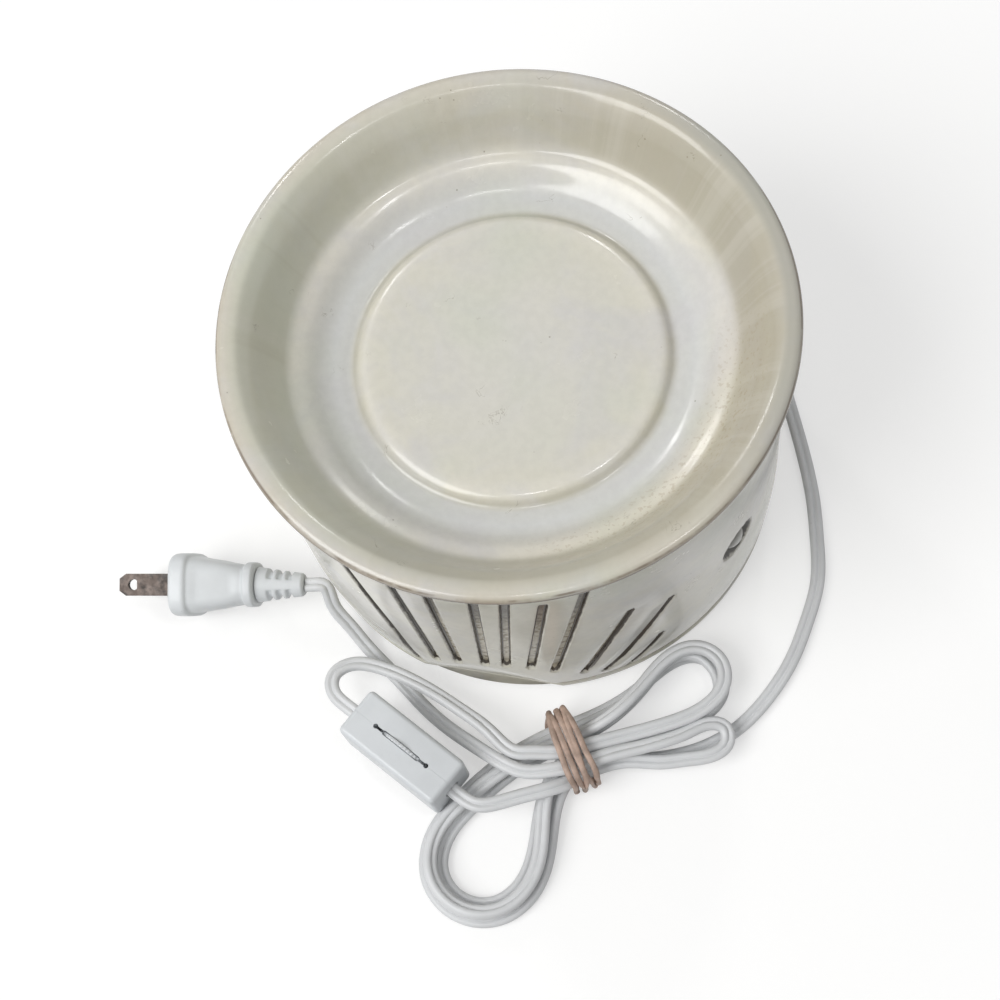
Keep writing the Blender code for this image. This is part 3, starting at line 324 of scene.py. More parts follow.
def glazeMarks(f, colour):
    # pinholes and short hairline scratches, only in patches
    patch = f.step(f.noise(48.0, 2.0, 0.5, (0.7, 0.2, 0.1)), 0.56, 0.64)
    hole = f.step(f.cells(250.0), 0.035, 0.085, 1.0, 0.0)
    colour = f.mix(f.times(hole, patch, 0.65), colour, glazeLook["pit"])
    thread = f.math("ABSOLUTE", f.math("SUBTRACT", f.noise(70.0, 5.0, 0.62, warp=0.6), 0.5))
    hair = f.step(thread, 0.0018, 0.0050, 1.0, 0.0)
    rare = f.step(f.noise(85.0, 1.0, 0.5, (0.05, 0.61, 0.3)), 0.655, 0.71)
    return f.mix(f.times(hair, rare, 0.45), colour, glazeLook["pit"])


def glazeSurface(f):
    g = glazeLook
    ripple = f.bump(f.noise(90.0, 2.0, 0.5), 0.0005, 0.22)
    f.set(rough=f.step(f.noise(70.0, 4.0, 0.6), 0.25, 0.8, *g["rough"]), coat=g["coat"],
          coatRough=g["coatRough"], normal=f.bump(f.noise(600.0, 2.0, 0.5), 0.00004, 0.14, ripple))


dishLook = {
    "rim": 73.5,
    "bands": (    # from the disc's middle out to the rim, by radius in millimetres
        # the dark ring at 41.5 mm, in the corner at the disc's foot, is painted shade; the pale rings at 38.6
        # and 54.6 mm, on the disc's rounded edge and on the shoulder, are painted highlight
        (0.0, (0.65, 0.635, 0.585)), (28.0, (0.635, 0.62, 0.55)), (35.0, (0.645, 0.625, 0.54)),
        (38.6, (0.69, 0.665, 0.585)), (40.2, (0.62, 0.595, 0.505)), (41.5, (0.50, 0.48, 0.40)),
        (43.2, (0.585, 0.585, 0.555)), (47.0, (0.61, 0.615, 0.60)), (51.0, (0.635, 0.63, 0.59)),
        (54.6, (0.70, 0.675, 0.60)), (56.8, (0.685, 0.655, 0.57)), (60.0, (0.57, 0.545, 0.455)),
        (65.0, (0.565, 0.53, 0.44)), (68.2, (0.585, 0.55, 0.46)), (71.2, (0.62, 0.585, 0.50)),
        (73.4, (0.50, 0.455, 0.365))),
    "wallFrom": (0.056, 0.060), "wallTo": (0.0725, 0.067), "wallLeftGreenLit": (0.61, 0.63, 0.51),
    "wallRightTanShade": (0.41, 0.375, 0.29), "wallFrontShade": (0.43, 0.40, 0.31), "stainWay": (0.62, -0.78, 0.0),
    "stain": (0.55, 0.44, 0.28), "specks": (0.33, 0.25, 0.15), "lipRightShade": (0.37, 0.36, 0.31),
    "underLipShade": (0.10, 0.072, 0.045), "rubbed": (0.28, 0.22, 0.15), "lipLine": (0.14, 0.10, 0.065),
    "lipLineZ": 0.0971}


def dishGlaze():
    f = Finish("dishGlaze")
    d = dishLook
    x, y, z = f.parts()
    radius = f.math("SQRT", f.math("ADD", f.math("MULTIPLY", x, x), f.math("MULTIPLY", y, y)))
    bands = [(r / d["rim"], colour) for r, colour in d["bands"]]
    colour = glazeClouds(f, f.ramp(f.math("DIVIDE", radius, d["rim"] * mm), bands, False))
    # glaze runs down the sloping wall as soft radial streaks; the wall's left is greener and made paler as
    # painted light, its right tan and made darker as painted shade
    flat = f.vector("NORMALIZE", f.vector("MULTIPLY", f.coords, (1.0, 1.0, 0.0)))
    runs = f.noise(9.0, 4.0, 0.65, vector=flat)
    onWall = f.times(f.step(radius, *d["wallFrom"]), f.step(radius, *d["wallTo"]))
    colour = f.mix(f.times(f.step(x, 0.02, -0.06), onWall, 0.55), colour, d["wallLeftGreenLit"])
    colour = f.mix(f.times(f.step(x, -0.01, 0.06), onWall, 0.75), colour, d["wallRightTanShade"])
    colour = f.mix(f.times(f.step(runs, 0.45, 0.68), onWall, 0.28), colour, glazeLook["pale"])
    colour = f.mix(f.times(f.step(runs, 0.47, 0.30), onWall, 0.22), colour, glazeLook["olive"])
    # a tea-brown stain with fine specks where the wall meets the shoulder
    toward = f.step(f.vector("DOT_PRODUCT", flat, d["stainWay"]), 0.55, 0.95)
    ring = f.times(f.step(radius, 0.048, 0.057), f.step(radius, 0.069, 0.061), toward)
    speck = f.step(f.noise(900.0, 2.0), 0.56, 0.66)
    colour = f.mix(f.times(ring, 0.18), colour, d["stain"])
    colour = f.mix(f.times(ring, speck, 0.35), colour, d["specks"])
    # the front of the wall and the lip's right side are made darker, as painted shade
    front = f.times(f.step(y, -0.035, -0.062), onWall)
    colour = f.mix(f.times(front, 0.50), colour, d["wallFrontShade"])
    onLip = f.step(radius, 0.0680, 0.0705)
    colour = f.mix(f.times(f.step(x, 0.030, 0.068), onLip, 0.70), colour, d["lipRightShade"])
    # painted shade darkens the lip's underside, and brown wear is rubbed along its edge
    lowEdge = f.times(f.step(z, d["lipLineZ"], 0.0960), f.step(radius, 0.0695, 0.0712))
    colour = f.mix(f.times(lowEdge, 0.90), colour, d["underLipShade"])
    worn = f.step(f.noise(130.0, 4.0, 0.6), 0.38, 0.62)
    colour = f.mix(f.times(f.step(radius, 0.0726, 0.0734), worn, 0.55), colour, d["rubbed"])
    # a thin broken brown line round the lip's shoulder
    offLine = f.math("ABSOLUTE", f.math("SUBTRACT", z, d["lipLineZ"]))
    thin = f.times(f.step(offLine, 0.00040, 0.00012), f.step(radius, 0.0716, 0.0724))
    broken = f.step(f.noise(60.0, 4.0, 0.65), 0.40, 0.58)
    colour = f.mix(f.times(thin, broken, 0.75), colour, d["lipLine"])
    f.set(colour=glazeMarks(f, colour))
    glazeSurface(f)
    return f.material


bodyLook = {
    "high": 0.0935,
    "bands": (    # from the foot to the rim, by share of the height
        (0.0, (0.60, 0.565, 0.46)), (0.05, (0.665, 0.64, 0.545)), (0.25, (0.67, 0.65, 0.555)),
        (0.6, (0.67, 0.645, 0.565)), (1.0, (0.59, 0.56, 0.47))),
    "halo": (0.36, 0.30, 0.21), "grooveDark": (0.28, 0.23, 0.155), "groovePale": (0.66, 0.60, 0.47),
    "dotHalo": (0.33, 0.29, 0.22), "pocket": (0.15, 0.145, 0.125), "dome": (0.50, 0.50, 0.47),
    "pocketEdge": (0.045, 0.042, 0.034), "crease": (0.20, 0.155, 0.10), "creaseZ": 0.0055,
    "grooveReach": 4.0, "dotReach": 10.0}    # how far grooveNear and dotNear reach, in millimetres


def bodyGlaze():
    f = Finish("bodyGlaze")
    b = bodyLook
    z = f.parts()[2]
    colour = glazeClouds(f, f.ramp(f.math("DIVIDE", z, b["high"]), b["bands"]))
    # dark wash: crisp along each groove's edges, broken and paler inside it
    wobble = f.math("MULTIPLY_ADD", f.noise(260.0, 2.0, 0.5), 0.36, -0.18)
    gap = f.math("ADD", f.math("SUBTRACT", b["grooveReach"], f.attribute("grooveNear")), wobble)
    halo = f.times(f.step(gap, 2.1, 1.3), f.step(f.noise(160.0, 3.0), 0.35, 0.65), 0.30)
    colour = f.mix(halo, colour, b["halo"])
    mottle = f.mix(f.step(f.noise(520.0, 3.0, 0.65), 0.36, 0.56), b["grooveDark"], b["groovePale"])
    # painted shade: inside the grooves the mottle turns darker towards the top, under the dish
    mottle = f.mix(f.times(f.step(z, 0.056, 0.078), 0.80), mottle, glazeLook["washAndShade"])
    colour = f.mix(f.times(f.step(gap, 1.20, 1.00), 0.92), colour, mottle)
    line = f.times(f.step(gap, 1.40, 1.24), f.step(gap, 0.55, 0.82))
    colour = f.mix(f.times(line, 0.95), colour, glazeLook["washAndShade"])
    # the dot's pocket is darkened by dark wash and painted shade, darkest along its edge, and the dome's top
    # is left paler as a painted highlight
    away = f.math("ADD", f.math("SUBTRACT", b["dotReach"], f.attribute("dotNear")), wobble)
    colour = f.mix(f.times(f.step(away, 7.8, 6.4), 0.30), colour, b["dotHalo"])
    colour = f.mix(f.times(f.step(away, 6.5, 6.1), 0.95), colour, b["pocket"])
    colour = f.mix(f.times(f.step(away, 3.6, 1.4), 0.90), colour, b["dome"])
    edge = f.times(f.step(away, 6.8, 6.4), f.step(away, 4.6, 5.5))
    colour = f.mix(f.times(edge, 0.93), colour, b["pocketEdge"])
    # dark wash and painted shade in the fine crease above the foot bead
    crease = f.step(f.math("ABSOLUTE", f.math("SUBTRACT", z, b["creaseZ"])), 0.0009, 0.0003)
    colour = f.mix(f.times(crease, f.step(f.noise(90.0), 0.25, 0.55), 0.75), colour, b["crease"])
    f.set(colour=glazeMarks(f, colour))
    glazeSurface(f)
    return f.material


# plastics, metals and the rest

def plasticFinish(name, colour, rough, grain=900.0, dirt=0.16):
    f = Finish(name)
    shade = f.ramp(f.noise(60.0, 4.0, 0.6), [(0.30, tuple(c * (1.0 - dirt) for c in colour)), (0.65, colour)])
    speck = f.step(f.cells(310.0), 0.03, 0.07, 1.0, 0.0)
    rare = f.step(f.noise(130.0, 1.0), 0.60, 0.66)
    shade = f.mix(f.times(speck, rare, 0.5), shade, tuple(c * 0.35 for c in colour))
    f.set(colour=shade, rough=f.step(f.noise(150.0, 3.0), 0.3, 0.7, rough - 0.06, rough + 0.08),
          normal=f.bump(f.noise(grain, 2.0), 0.00004, 0.3))
    return f.material


def metalFinish(name, colour, tarnish, rough, amount=0.6, metal=1.0):
    f = Finish(name)
    stain = f.times(f.step(f.noise(260.0, 5.0, 0.65), 0.42, 0.66), amount)
    f.set(colour=f.mix(stain, colour, tarnish), metal=metal,
          rough=f.step(f.noise(500.0, 3.0), 0.3, 0.7, rough, rough + 0.22),
          normal=f.bump(f.noise(1500.0, 2.0), 0.00003, 0.3))
    return f.material


def rubberFinish(name, colour, rough, fade=0.72):
    f = Finish(name)
    shade = f.ramp(f.noise(220.0, 4.0, 0.65), [(0.30, tuple(c * fade for c in colour)), (0.70, colour)])
    f.set(colour=shade, rough=rough, normal=f.bump(f.noise(1400.0, 3.0), 0.00006, 0.5))
    return f.material


def glassFinish(name):
    f = Finish(name)
    f.set(colour=(0.97, 0.97, 0.95), glass=1.0, ior=1.46,
          rough=f.step(f.noise(200.0, 2.0), 0.4, 0.7, 0.0, 0.04))
    return f.material


glazeOnDish = dishGlaze()
glazeOnBody = bodyGlaze()
whiteVinyl = plasticFinish("whiteVinyl", (0.67, 0.68, 0.69), 0.38, 1200.0, 0.08)
whiteShell = plasticFinish("whiteShell", (0.645, 0.67, 0.69), 0.36, 900.0, 0.07)
whiteWheel = plasticFinish("whiteWheel", (0.62, 0.64, 0.66), 0.38, 900.0, 0.10)
whitePlug = plasticFinish("whitePlug", (0.68, 0.705, 0.72), 0.40, 900.0, 0.07)
blackPhenolic = plasticFinish("blackPhenolic", (0.035, 0.033, 0.03), 0.38)
coverPlastic = plasticFinish("coverPlastic", (0.05, 0.05, 0.052), 0.55, 500.0)
whiteRubber = rubberFinish("whiteRubber", (0.62, 0.62, 0.61), 0.6)
padRubber = rubberFinish("padRubber", (0.46, 0.46, 0.44), 0.85)
tanBand = rubberFinish("tanBand", (0.52, 0.375, 0.30), 0.50, 0.58)
yellowBrass = metalFinish("yellowBrass", (0.80, 0.60, 0.28), (0.35, 0.22, 0.10), 0.22)
bladeBrass = metalFinish("bladeBrass", (0.085, 0.065, 0.055), (0.016, 0.013, 0.011), 0.34, 0.95, 0.5)
plainSteel = metalFinish("plainSteel", (0.62, 0.62, 0.62), (0.30, 0.28, 0.26), 0.28)
tinSolder = metalFinish("tinSolder", (0.66, 0.66, 0.66), (0.36, 0.35, 0.34), 0.35)
tungsten = metalFinish("tungsten", (0.30, 0.30, 0.32), (0.12, 0.12, 0.13), 0.4)
clearGlass = glassFinish("clearGlass")
stemGlass = glassFinish("stemGlass")
wireCopper = plasticFinish("wireCopper", (0.62, 0.40, 0.20), 0.45)
wireSilver = plasticFinish("wireSilver", (0.66, 0.66, 0.64), 0.45)
print("finishes made")


# cord: one twin cord from the grommet through the hank to the switch, another from the switch to the plug

wallR = 70.5    # the outside of the body, which the cord lies along
cordExit = {"azimuth": 100.0, "z": 6.2, "notchR": 4.4, "faceR": 72.6}
cordShape = {
    "wide": 4.1, "thick": 2.9, "foldDip": 0.42, "foldWide": 0.48, "step": 1.2, "clear": 0.3, "inside": 1.3,
    "ringPoints": 28, "mainFree": (290.0, 30.0), "plugFree": (0.0, 60.0), "freeEase": 40.0,
    "endEase": 18.0, "rolls": ((0.55, 41.0, 0.4), (0.40, 17.0, 1.3))}
hankShape = {
    "pitch": 4.2, "layer": 4.25, "tableZ": 2.1, "waistZ": 4.0, "waist": (-8.0, -88.0), "waistDir": 9.0,
    "lowAt": (-38.0, -112.5), "lowR": 16.3, "lowDir": 228.0, "upAt": (29.0, -77.0), "upR": 8.6, "upDir": 24.0,
    "inOff": 2.2, "outOff": 6.5, "loops": 3}
switchShape = {
    "at": (-53.0, -80.5, 12.4), "yaw": -50.2, "long": 34.0, "thick": 14.6, "high": 16.0, "edge": 1.5,
    "seam": 0.012, "seamEdge": 0.025, "slot": 19.4, "opening": 13.2, "slotWide": 1.35, "room": 6.8,
    "lineWide": 0.8, "lineDeep": 1.4, "pitR": 0.72, "pitIn": 0.7, "pitDeep": 2.2, "mouth": (2.6, 1.95),
    "mouthDeep": 3.0, "past": 10.0, "wheelR": 9.3, "wheelWide": 1.05, "hubR": 1.5,
    "ridges": 48.0, "ridgeDeep": 0.22}
plugShape = {
    "tail": polar(77.2, -159.3, 16.2), "turn": (165.2, 5.0, -18.0), "relief": 13.8, "halfWide": 9.1,
    "halfHigh": 11.7, "ringPoints": 72, "step": 0.8, "grip": 0.55,
    "sections": (    # along from the relief, with the shares of the half width and half height
        (0.0, 0.58, 0.52), (0.12, 0.645, 0.575), (0.5, 0.70, 0.62), (1.6, 0.712, 0.632), (2.6, 0.704, 0.624),
        (2.95, 0.67, 0.604), (3.15, 0.636, 0.582), (3.6, 0.632, 0.58), (4.9, 0.648, 0.608),
        (7.3, 0.69, 0.665), (10.9, 0.768, 0.752), (14.4, 0.825, 0.832), (16.8, 0.868, 0.886),
        (18.0, 0.888, 0.908), (18.35, 0.915, 0.93), (18.7, 0.965, 0.972), (19.2, 0.995, 0.996),
        (19.8, 1.0, 1.0), (22.0, 1.0, 1.0), (22.7, 0.99, 0.992), (23.15, 0.965, 0.97), (23.4, 0.925, 0.94))}
waistAt = np.array(hankShape["waist"])
waistAlong = np.array(polar(1.0, hankShape["waistDir"])[:2])
waistAcross = np.array((-waistAlong[1], waistAlong[0]))
plugPlace = placed(plugShape["tail"], *plugShape["turn"])
switchPlace = placed(switchShape["at"], switchShape["yaw"])


def waistPoint(x, y, z):
    p = waistAt + x * waistAlong + y * waistAcross
    return (p[0], p[1], z)


def byWaist(x, y, z):
    return (waistAt[0] + x, waistAt[1] + y, z)


def byWall(away, azimuth, z=hankShape["tableZ"]):
    return polar(wallR + away, azimuth, z)


def ease(u):
    return u * u * (3.0 - 2.0 * u)


def besideAxis(end, endDir, startDir, u, off):
    # a point beside the curve that leaves the waist in startDir and comes to end in endDir
    p1 = np.array(end)
    reach = np.linalg.norm(p1 - waistAt)
    t0 = np.array(polar(reach, startDir)[:2])
    t1 = np.array(polar(reach, endDir)[:2])
    p = ((2 * u ** 3 - 3 * u * u + 1) * waistAt + (u ** 3 - 2 * u * u + u) * t0
         + (3 * u * u - 2 * u ** 3) * p1 + (u ** 3 - u * u) * t1)
    d = ((6 * u * u - 6 * u) * (waistAt - p1) + (3 * u * u - 4 * u + 1) * t0 + (3 * u * u - 2 * u) * t1)
    d = d / np.linalg.norm(d)
    return p + off * np.array((-d[1], d[0]))


def hankRoute():
    h = hankShape
    low, lowDir, upAt, upDir = h["lowAt"], h["lowDir"], h["upAt"], h["upDir"]
    away = h["waistDir"] + 180.0
    route = [
        waistPoint(6.0, -h["outOff"] - 0.2, h["waistZ"]), waistPoint(3.0, -h["outOff"] - 0.1, h["waistZ"])]
    rise = [(u, h["waistZ"] + (h["tableZ"] - h["waistZ"]) * ease(u)) for u in (0.35, 0.7)]
    lowR = (h["lowR"], h["lowR"] - h["pitch"], h["lowR"] - 1.7)
    offs = (h["outOff"], h["inOff"], h["inOff"])
    tips = (0.0, -1.2, 0.8)
    for k in range(h["loops"]):
        lowZ = h["layer"] * max(0, k - 1)
        upZ = h["layer"] * k
        route.append(waistPoint(0.0, -offs[k], h["waistZ"] + lowZ))
        for u, z in rise:
            off = offs[k] + (lowR[k] - offs[k]) * ease(u)
            route.append((*besideAxis(low, lowDir, away, u, off), z + lowZ))
        for j in range(5):
            q = polar(lowR[k], lowDir + 90.0 - 45.0 * j)
            route.append((low[0] + q[0], low[1] + q[1], h["tableZ"] + lowZ))
        for u, z in rise[::-1]:
            off = -offs[k] - (lowR[k] - offs[k]) * ease(u)
            route.append((*besideAxis(low, lowDir, away, u, off), z + lowZ))
        route.append(waistPoint(0.0, offs[k], h["waistZ"] + lowZ))
        for u, z in rise:
            late = ease(max(0.0, (u - 0.25) / 0.75))
            off = offs[k] + (h["upR"] - offs[k]) * late
            route.append((*besideAxis(upAt, upDir, h["waistDir"], u, off), z + upZ))
        for j in range(5):
            q = polar(h["upR"], upDir + 90.0 - 45.0 * j)
            t = polar(tips[k] * math.sin(math.pi * j / 4.0), upDir)
            route.append((upAt[0] + q[0] + t[0], upAt[1] + q[1] + t[1], h["tableZ"] + upZ))
        for u, z in rise[::-1]:
            off = -h["inOff"] - (h["upR"] - h["inOff"]) * ease(u)
            route.append((*besideAxis(upAt, upDir, h["waistDir"], u, off), z + upZ))
    top = h["waistZ"] + 2.0 * h["layer"]
    return route + [waistPoint(0.0, -1.7, top), waistPoint(-5.5, -0.6, top), waistPoint(-11.0, 1.6, top)]


def switchEnd(k):
    return tuple(switchPlace @ Vector((k * mm, 0.0, 0.0)) / mm)


def plugPoint(k):
    return tuple(plugPlace @ Vector((k * mm, 0.0, 0.0)) / mm)


def cordRoutes():
    onTable = hankShape["tableZ"]
    hank = hankRoute()
    past = np.array(hank[-1]) - np.array(hank[-2])
    past = np.array(hank[-1]) + past / np.linalg.norm(past) * 3.5
    w1 = hankShape["waistZ"] + hankShape["layer"]
    w2 = w1 + hankShape["layer"] + 0.1
    half = 0.5 * switchShape["long"]
    into = cordShape["inside"]
    exitAz = cordExit["azimuth"]
    lead = [
        polar(cordExit["faceR"] + 0.3, exitAz, cordExit["z"]), byWall(7.5, exitAz, 6.0),
        byWall(13.5, exitAz - 1.0, 4.5), byWall(21.7, 93.7, 2.3), byWall(24.0, 83.9), byWall(21.3, 69.6),
        byWall(16.5, 52.5), byWall(11.6, 34.1), byWall(8.1, 16.2), byWall(6.5, -1.5), byWall(8.1, -11.7),
        byWall(11.6, -22.2), byWall(15.1, -30.2), byWall(19.3, -37.8), byWall(22.1, -45.4),
        byWaist(66.0, 12.0, onTable), byWaist(58.0, 4.0, onTable), byWaist(47.0, -3.5, onTable),
        byWaist(35.0, -7.2, 2.3), waistPoint(18.0, -9.8, 2.8), waistPoint(11.5, -7.8, 3.6)]
    toSwitch = [
        tuple(past), byWaist(-20.5, 7.5, 12.4), byWaist(-27.0, 15.5, 11.0), byWaist(-34.0, 23.0, 9.4),
        byWaist(-42.0, 30.0, 8.8), byWaist(-49.5, 34.8, 9.0), byWaist(-56.5, 36.4, 10.0),
        byWaist(-61.2, 33.8, 11.2), byWaist(-61.8, 28.8, 12.2), switchEnd(-half - 4.5),
        switchEnd(-half + into)]
    toPlug = [
        switchEnd(half - into), switchEnd(half + 3.2), byWaist(-28.2, -11.2, 12.6),
        byWaist(-22.5, -11.9, 12.6), byWaist(-16.3, -11.5, 12.5), byWaist(-10.0, -11.2, 12.2),
        waistPoint(-5.0, -9.5, 10.4),
        waistPoint(0.0, -8.6, 8.8), waistPoint(6.0, -8.3, w1), waistPoint(13.0, -9.4, 8.0),
        byWaist(23.0, -9.4, 7.4), byWaist(31.0, -10.2, 7.0), byWaist(38.0, -10.4, 6.9),
        byWaist(42.6, -7.8, 7.0), byWaist(42.8, -3.9, 7.6), byWaist(38.8, -2.1, 8.6),
        byWaist(32.5, -3.4, 9.8), waistPoint(24.6, -8.6, 11.0), waistPoint(17.0, -8.0, 11.9),
        waistPoint(9.0, -7.0, w2), waistPoint(0.0, -6.5, w2), waistPoint(-7.0, -5.2, w2),
        byWaist(-13.5, -5.0, 12.3), byWaist(-20.5, 0.0, 11.8), byWaist(-27.0, 7.0, 8.6),
        byWaist(-33.0, 14.2, 4.4), byWaist(-38.5, 22.0, 2.2), byWaist(-43.0, 29.5, onTable),
        byWall(5.2, -136.6), byWall(4.0, -143.0, 3.4), byWall(3.4, -148.6, 7.2), byWall(3.2, -153.3, 11.8),
        plugPoint(-5.2), plugPoint(-2.2), plugPoint(-cordShape["clear"])]
    return lead + hank + toSwitch, toPlug


def twinSection(shape):
    # two round conductors side by side with a fold line between them
    ring = []
    for i in range(shape["ringPoints"]):
        a = 2.0 * math.pi * i / shape["ringPoints"]
        x = 0.5 * shape["wide"] * math.copysign(abs(math.cos(a)) ** 0.9, math.cos(a))
        fold = 1.0 - shape["foldDip"] * math.exp(-(x / shape["foldWide"]) ** 2)
        y = 0.5 * shape["thick"] * math.copysign(abs(math.sin(a)) ** 0.75, math.sin(a)) * fold
        ring.append((x, y))
    return ring


def sweptMesh(name, points, ring, tilts=None):
    # sweep a closed outline along a path, its flat side kept level apart from the tilts
    outline = bpy.data.curves.new("outline", "CURVE")
    outline.dimensions = "2D"
    line = outline.splines.new("POLY")
    line.points.add(len(ring) - 1)
    for point, (x, y) in zip(line.points, ring):
        point.co = (x * mm, y * mm, 0.0, 1.0)
    line.use_cyclic_u = True
    section = bpy.data.objects.new("outline", outline)
    bpy.context.scene.collection.objects.link(section)
    curve = bpy.data.curves.new(name, "CURVE")
    curve.dimensions = "3D"
    curve.twist_mode = "Z_UP"
    curve.use_fill_caps = True
    curve.bevel_mode = "OBJECT"
    curve.bevel_object = section
    line = curve.splines.new("POLY")
    line.points.add(len(points) - 1)
    for i, (point, p) in enumerate(zip(line.points, points)):
        point.co = (p[0] * mm, p[1] * mm, p[2] * mm, 1.0)
        if tilts is not None:
            point.tilt = tilts[i]
    holder = bpy.data.objects.new(name, curve)
    bpy.context.scene.collection.objects.link(holder)
    bpy.context.view_layer.update()
    mesh = bpy.data.meshes.new_from_object(holder.evaluated_get(bpy.context.evaluated_depsgraph_get()))
    bpy.data.objects.remove(holder)
    bpy.data.objects.remove(section)
    bm = bmesh.new()
    bm.from_mesh(mesh)
    bpy.data.meshes.remove(mesh)
    return closeMesh(bm, name, 60.0)


def pathRuns(path):
    return np.concatenate([[0.0], np.cumsum(np.linalg.norm(np.diff(path, axis=0), axis=1))])


def cordTilts(path, freeFrom, freeTo):
    # the flat cord rolls a little as it lies, more inside the hank, and meets its ends squarely
    s = pathRuns(path)
    back = s[-1] - freeTo
    run, end = cordShape["freeEase"], cordShape["endEase"]
    loose = easeStep(freeFrom, freeFrom + run, s) * easeStep(back, back - run, s)
    roll = sum(size * np.sin(s / wave + start) for size, wave, start in cordShape["rolls"])
    ends = easeStep(0.0, end, s) * easeStep(s[-1], s[-1] - end, s)
    return roll * (0.25 + 0.75 * loose) * ends


cordRing = twinSection(cordShape)
mainRoute, plugRoute = cordRoutes()
mainPath = smoothLine(mainRoute, cordShape["step"])
plugPath = smoothLine(plugRoute, cordShape["step"])
mainMesh = sweptMesh("main_cord", mainPath, cordRing, cordTilts(mainPath, *cordShape["mainFree"]))
mainCord = newPiece("main_cord", mainMesh, whiteVinyl, "warmer",
                    ["lead_cord", "cord_hank", "switch_cord"])
plugMesh = sweptMesh("plug_lead", plugPath, cordRing, cordTilts(plugPath, *cordShape["plugFree"]))
plugCord = newPiece("plug_lead", plugMesh, whiteVinyl, "warmer", ["plug_cord"])

# rubber band wound round the waist of the hank

bandShape = {
    "turns": 5, "pitch": 1.5, "wide": 1.7, "thick": 1.0, "halfAcross": 11.1, "shift": -1.0, "halfHigh": 7.75,
    "middle": 8.6, "squared": 0.45, "perTurn": 72, "step": 0.6, "ringPoints": 14}


def makeBand():
    b = bandShape
    path = []
    for i in range(b["turns"] * b["perTurn"] + 1):
        t = i / b["perTurn"]
        a = 2.0 * math.pi * t - 0.5 * math.pi
        swell = 1.0 + 0.02 * math.sin(1.7 * a)
        across = math.copysign(abs(math.cos(a)) ** b["squared"], math.cos(a))
        upward = math.copysign(abs(math.sin(a)) ** b["squared"], math.sin(a))
        y = b["shift"] + b["halfAcross"] * swell * across
        z = b["middle"] + b["halfHigh"] * upward
        sway = 0.55 * math.sin(1.37 * a + 1.0) + 0.35 * math.sin(2.6 * a + 0.3)
        path.append(waistPoint(b["pitch"] * (t - 0.5 * b["turns"]) + sway, y, z))
    ring = []
    for i in range(b["ringPoints"]):
        a = 2.0 * math.pi * i / b["ringPoints"]
        ring.append((0.5 * b["wide"] * math.cos(a), 0.5 * b["thick"] * math.sin(a)))
    mesh = sweptMesh("rubber_band", smoothLine(path, b["step"]), ring)
    return newPiece("rubber_band", mesh, tanBand, "warmer", ["hank_band"])


band = makeBand()
print("band made")


# dish: raised disc, channel, shoulder, sloping wall, rolled lip and a plain underside

dishShape = {
    "rimR": 73.5, "rimZ": 98.0, "seatZ": 93.5, "underZ": 71.5, "discR": 40.6, "discZ": 78.0, "spigotR": 66.6,
    "steps": 288}


def makeDish():
    d = dishShape
    top = smoothLine([
        (d["rimR"] - 1.8, d["seatZ"] + 0.06), (d["rimR"] - 0.55, 94.5), (d["rimR"] - 0.02, 95.9),
        (d["rimR"] - 0.35, 97.3), (d["rimR"] - 1.5, d["rimZ"] - 0.03), (d["rimR"] - 3.2, d["rimZ"] - 0.06),
        (68.4, 97.45), (66.9, 96.2), (65.2, 94.3), (63.4, 91.5), (61.4, 87.6), (59.4, 84.2), (57.7, 82.2),
        (55.7, 81.4), (53.4, 80.2), (50.2, 77.7), (47.4, 76.45), (44.4, 75.95), (42.6, 75.72), (41.55, 76.05),
        (d["discR"] - 0.05, 77.0), (d["discR"] - 1.4, 77.75), (d["discR"] - 4.2, d["discZ"] - 0.02),
        (26.0, d["discZ"] - 0.06), (12.0, d["discZ"] - 0.08), (0.0, d["discZ"] - 0.08)], 0.55)
    under = [
        (d["rimR"] - 1.8, d["seatZ"]), (d["spigotR"] + 0.6, d["seatZ"]), (d["spigotR"], 91.2), (64.9, 87.0),
        (62.2, 81.0), (58.5, 75.8), (53.5, 72.4), (47.5, d["underZ"]), (20.0, d["underZ"]),
        (0.0, d["underZ"])]
    under = roundedProfile(under, {1: 0.8, 2: 2.0, 3: 3.0, 4: 3.0, 5: 3.0, 6: 3.0, 7: 3.0})
    profile = [tuple(p) for p in top[::-1]] + under
    profile[0] = (0.0, profile[0][1])
    mesh = spinMesh("dish_glazed", profile, d["steps"], False, sharpAngle=60.0)
    # the thrown rim is a touch uneven
    co = meshPoints(mesh)
    azimuth = np.arctan2(co[:, 1], co[:, 0])
    high = easeStep(86.0, 97.0, co[:, 2])
    co[:, 2] -= high * (0.16 + 0.10 * np.sin(2.0 * azimuth + 0.7) + 0.06 * np.sin(5.0 * azimuth + 2.1))
    movePoints(mesh, co)
    return newPiece("dish_glazed", mesh, glazeOnDish, "dish", ["dish"])


makeDish()
print("dish made")


# body: turned wall, its foot flattened under each fan, pressed grooves, domed dots in sunk pockets

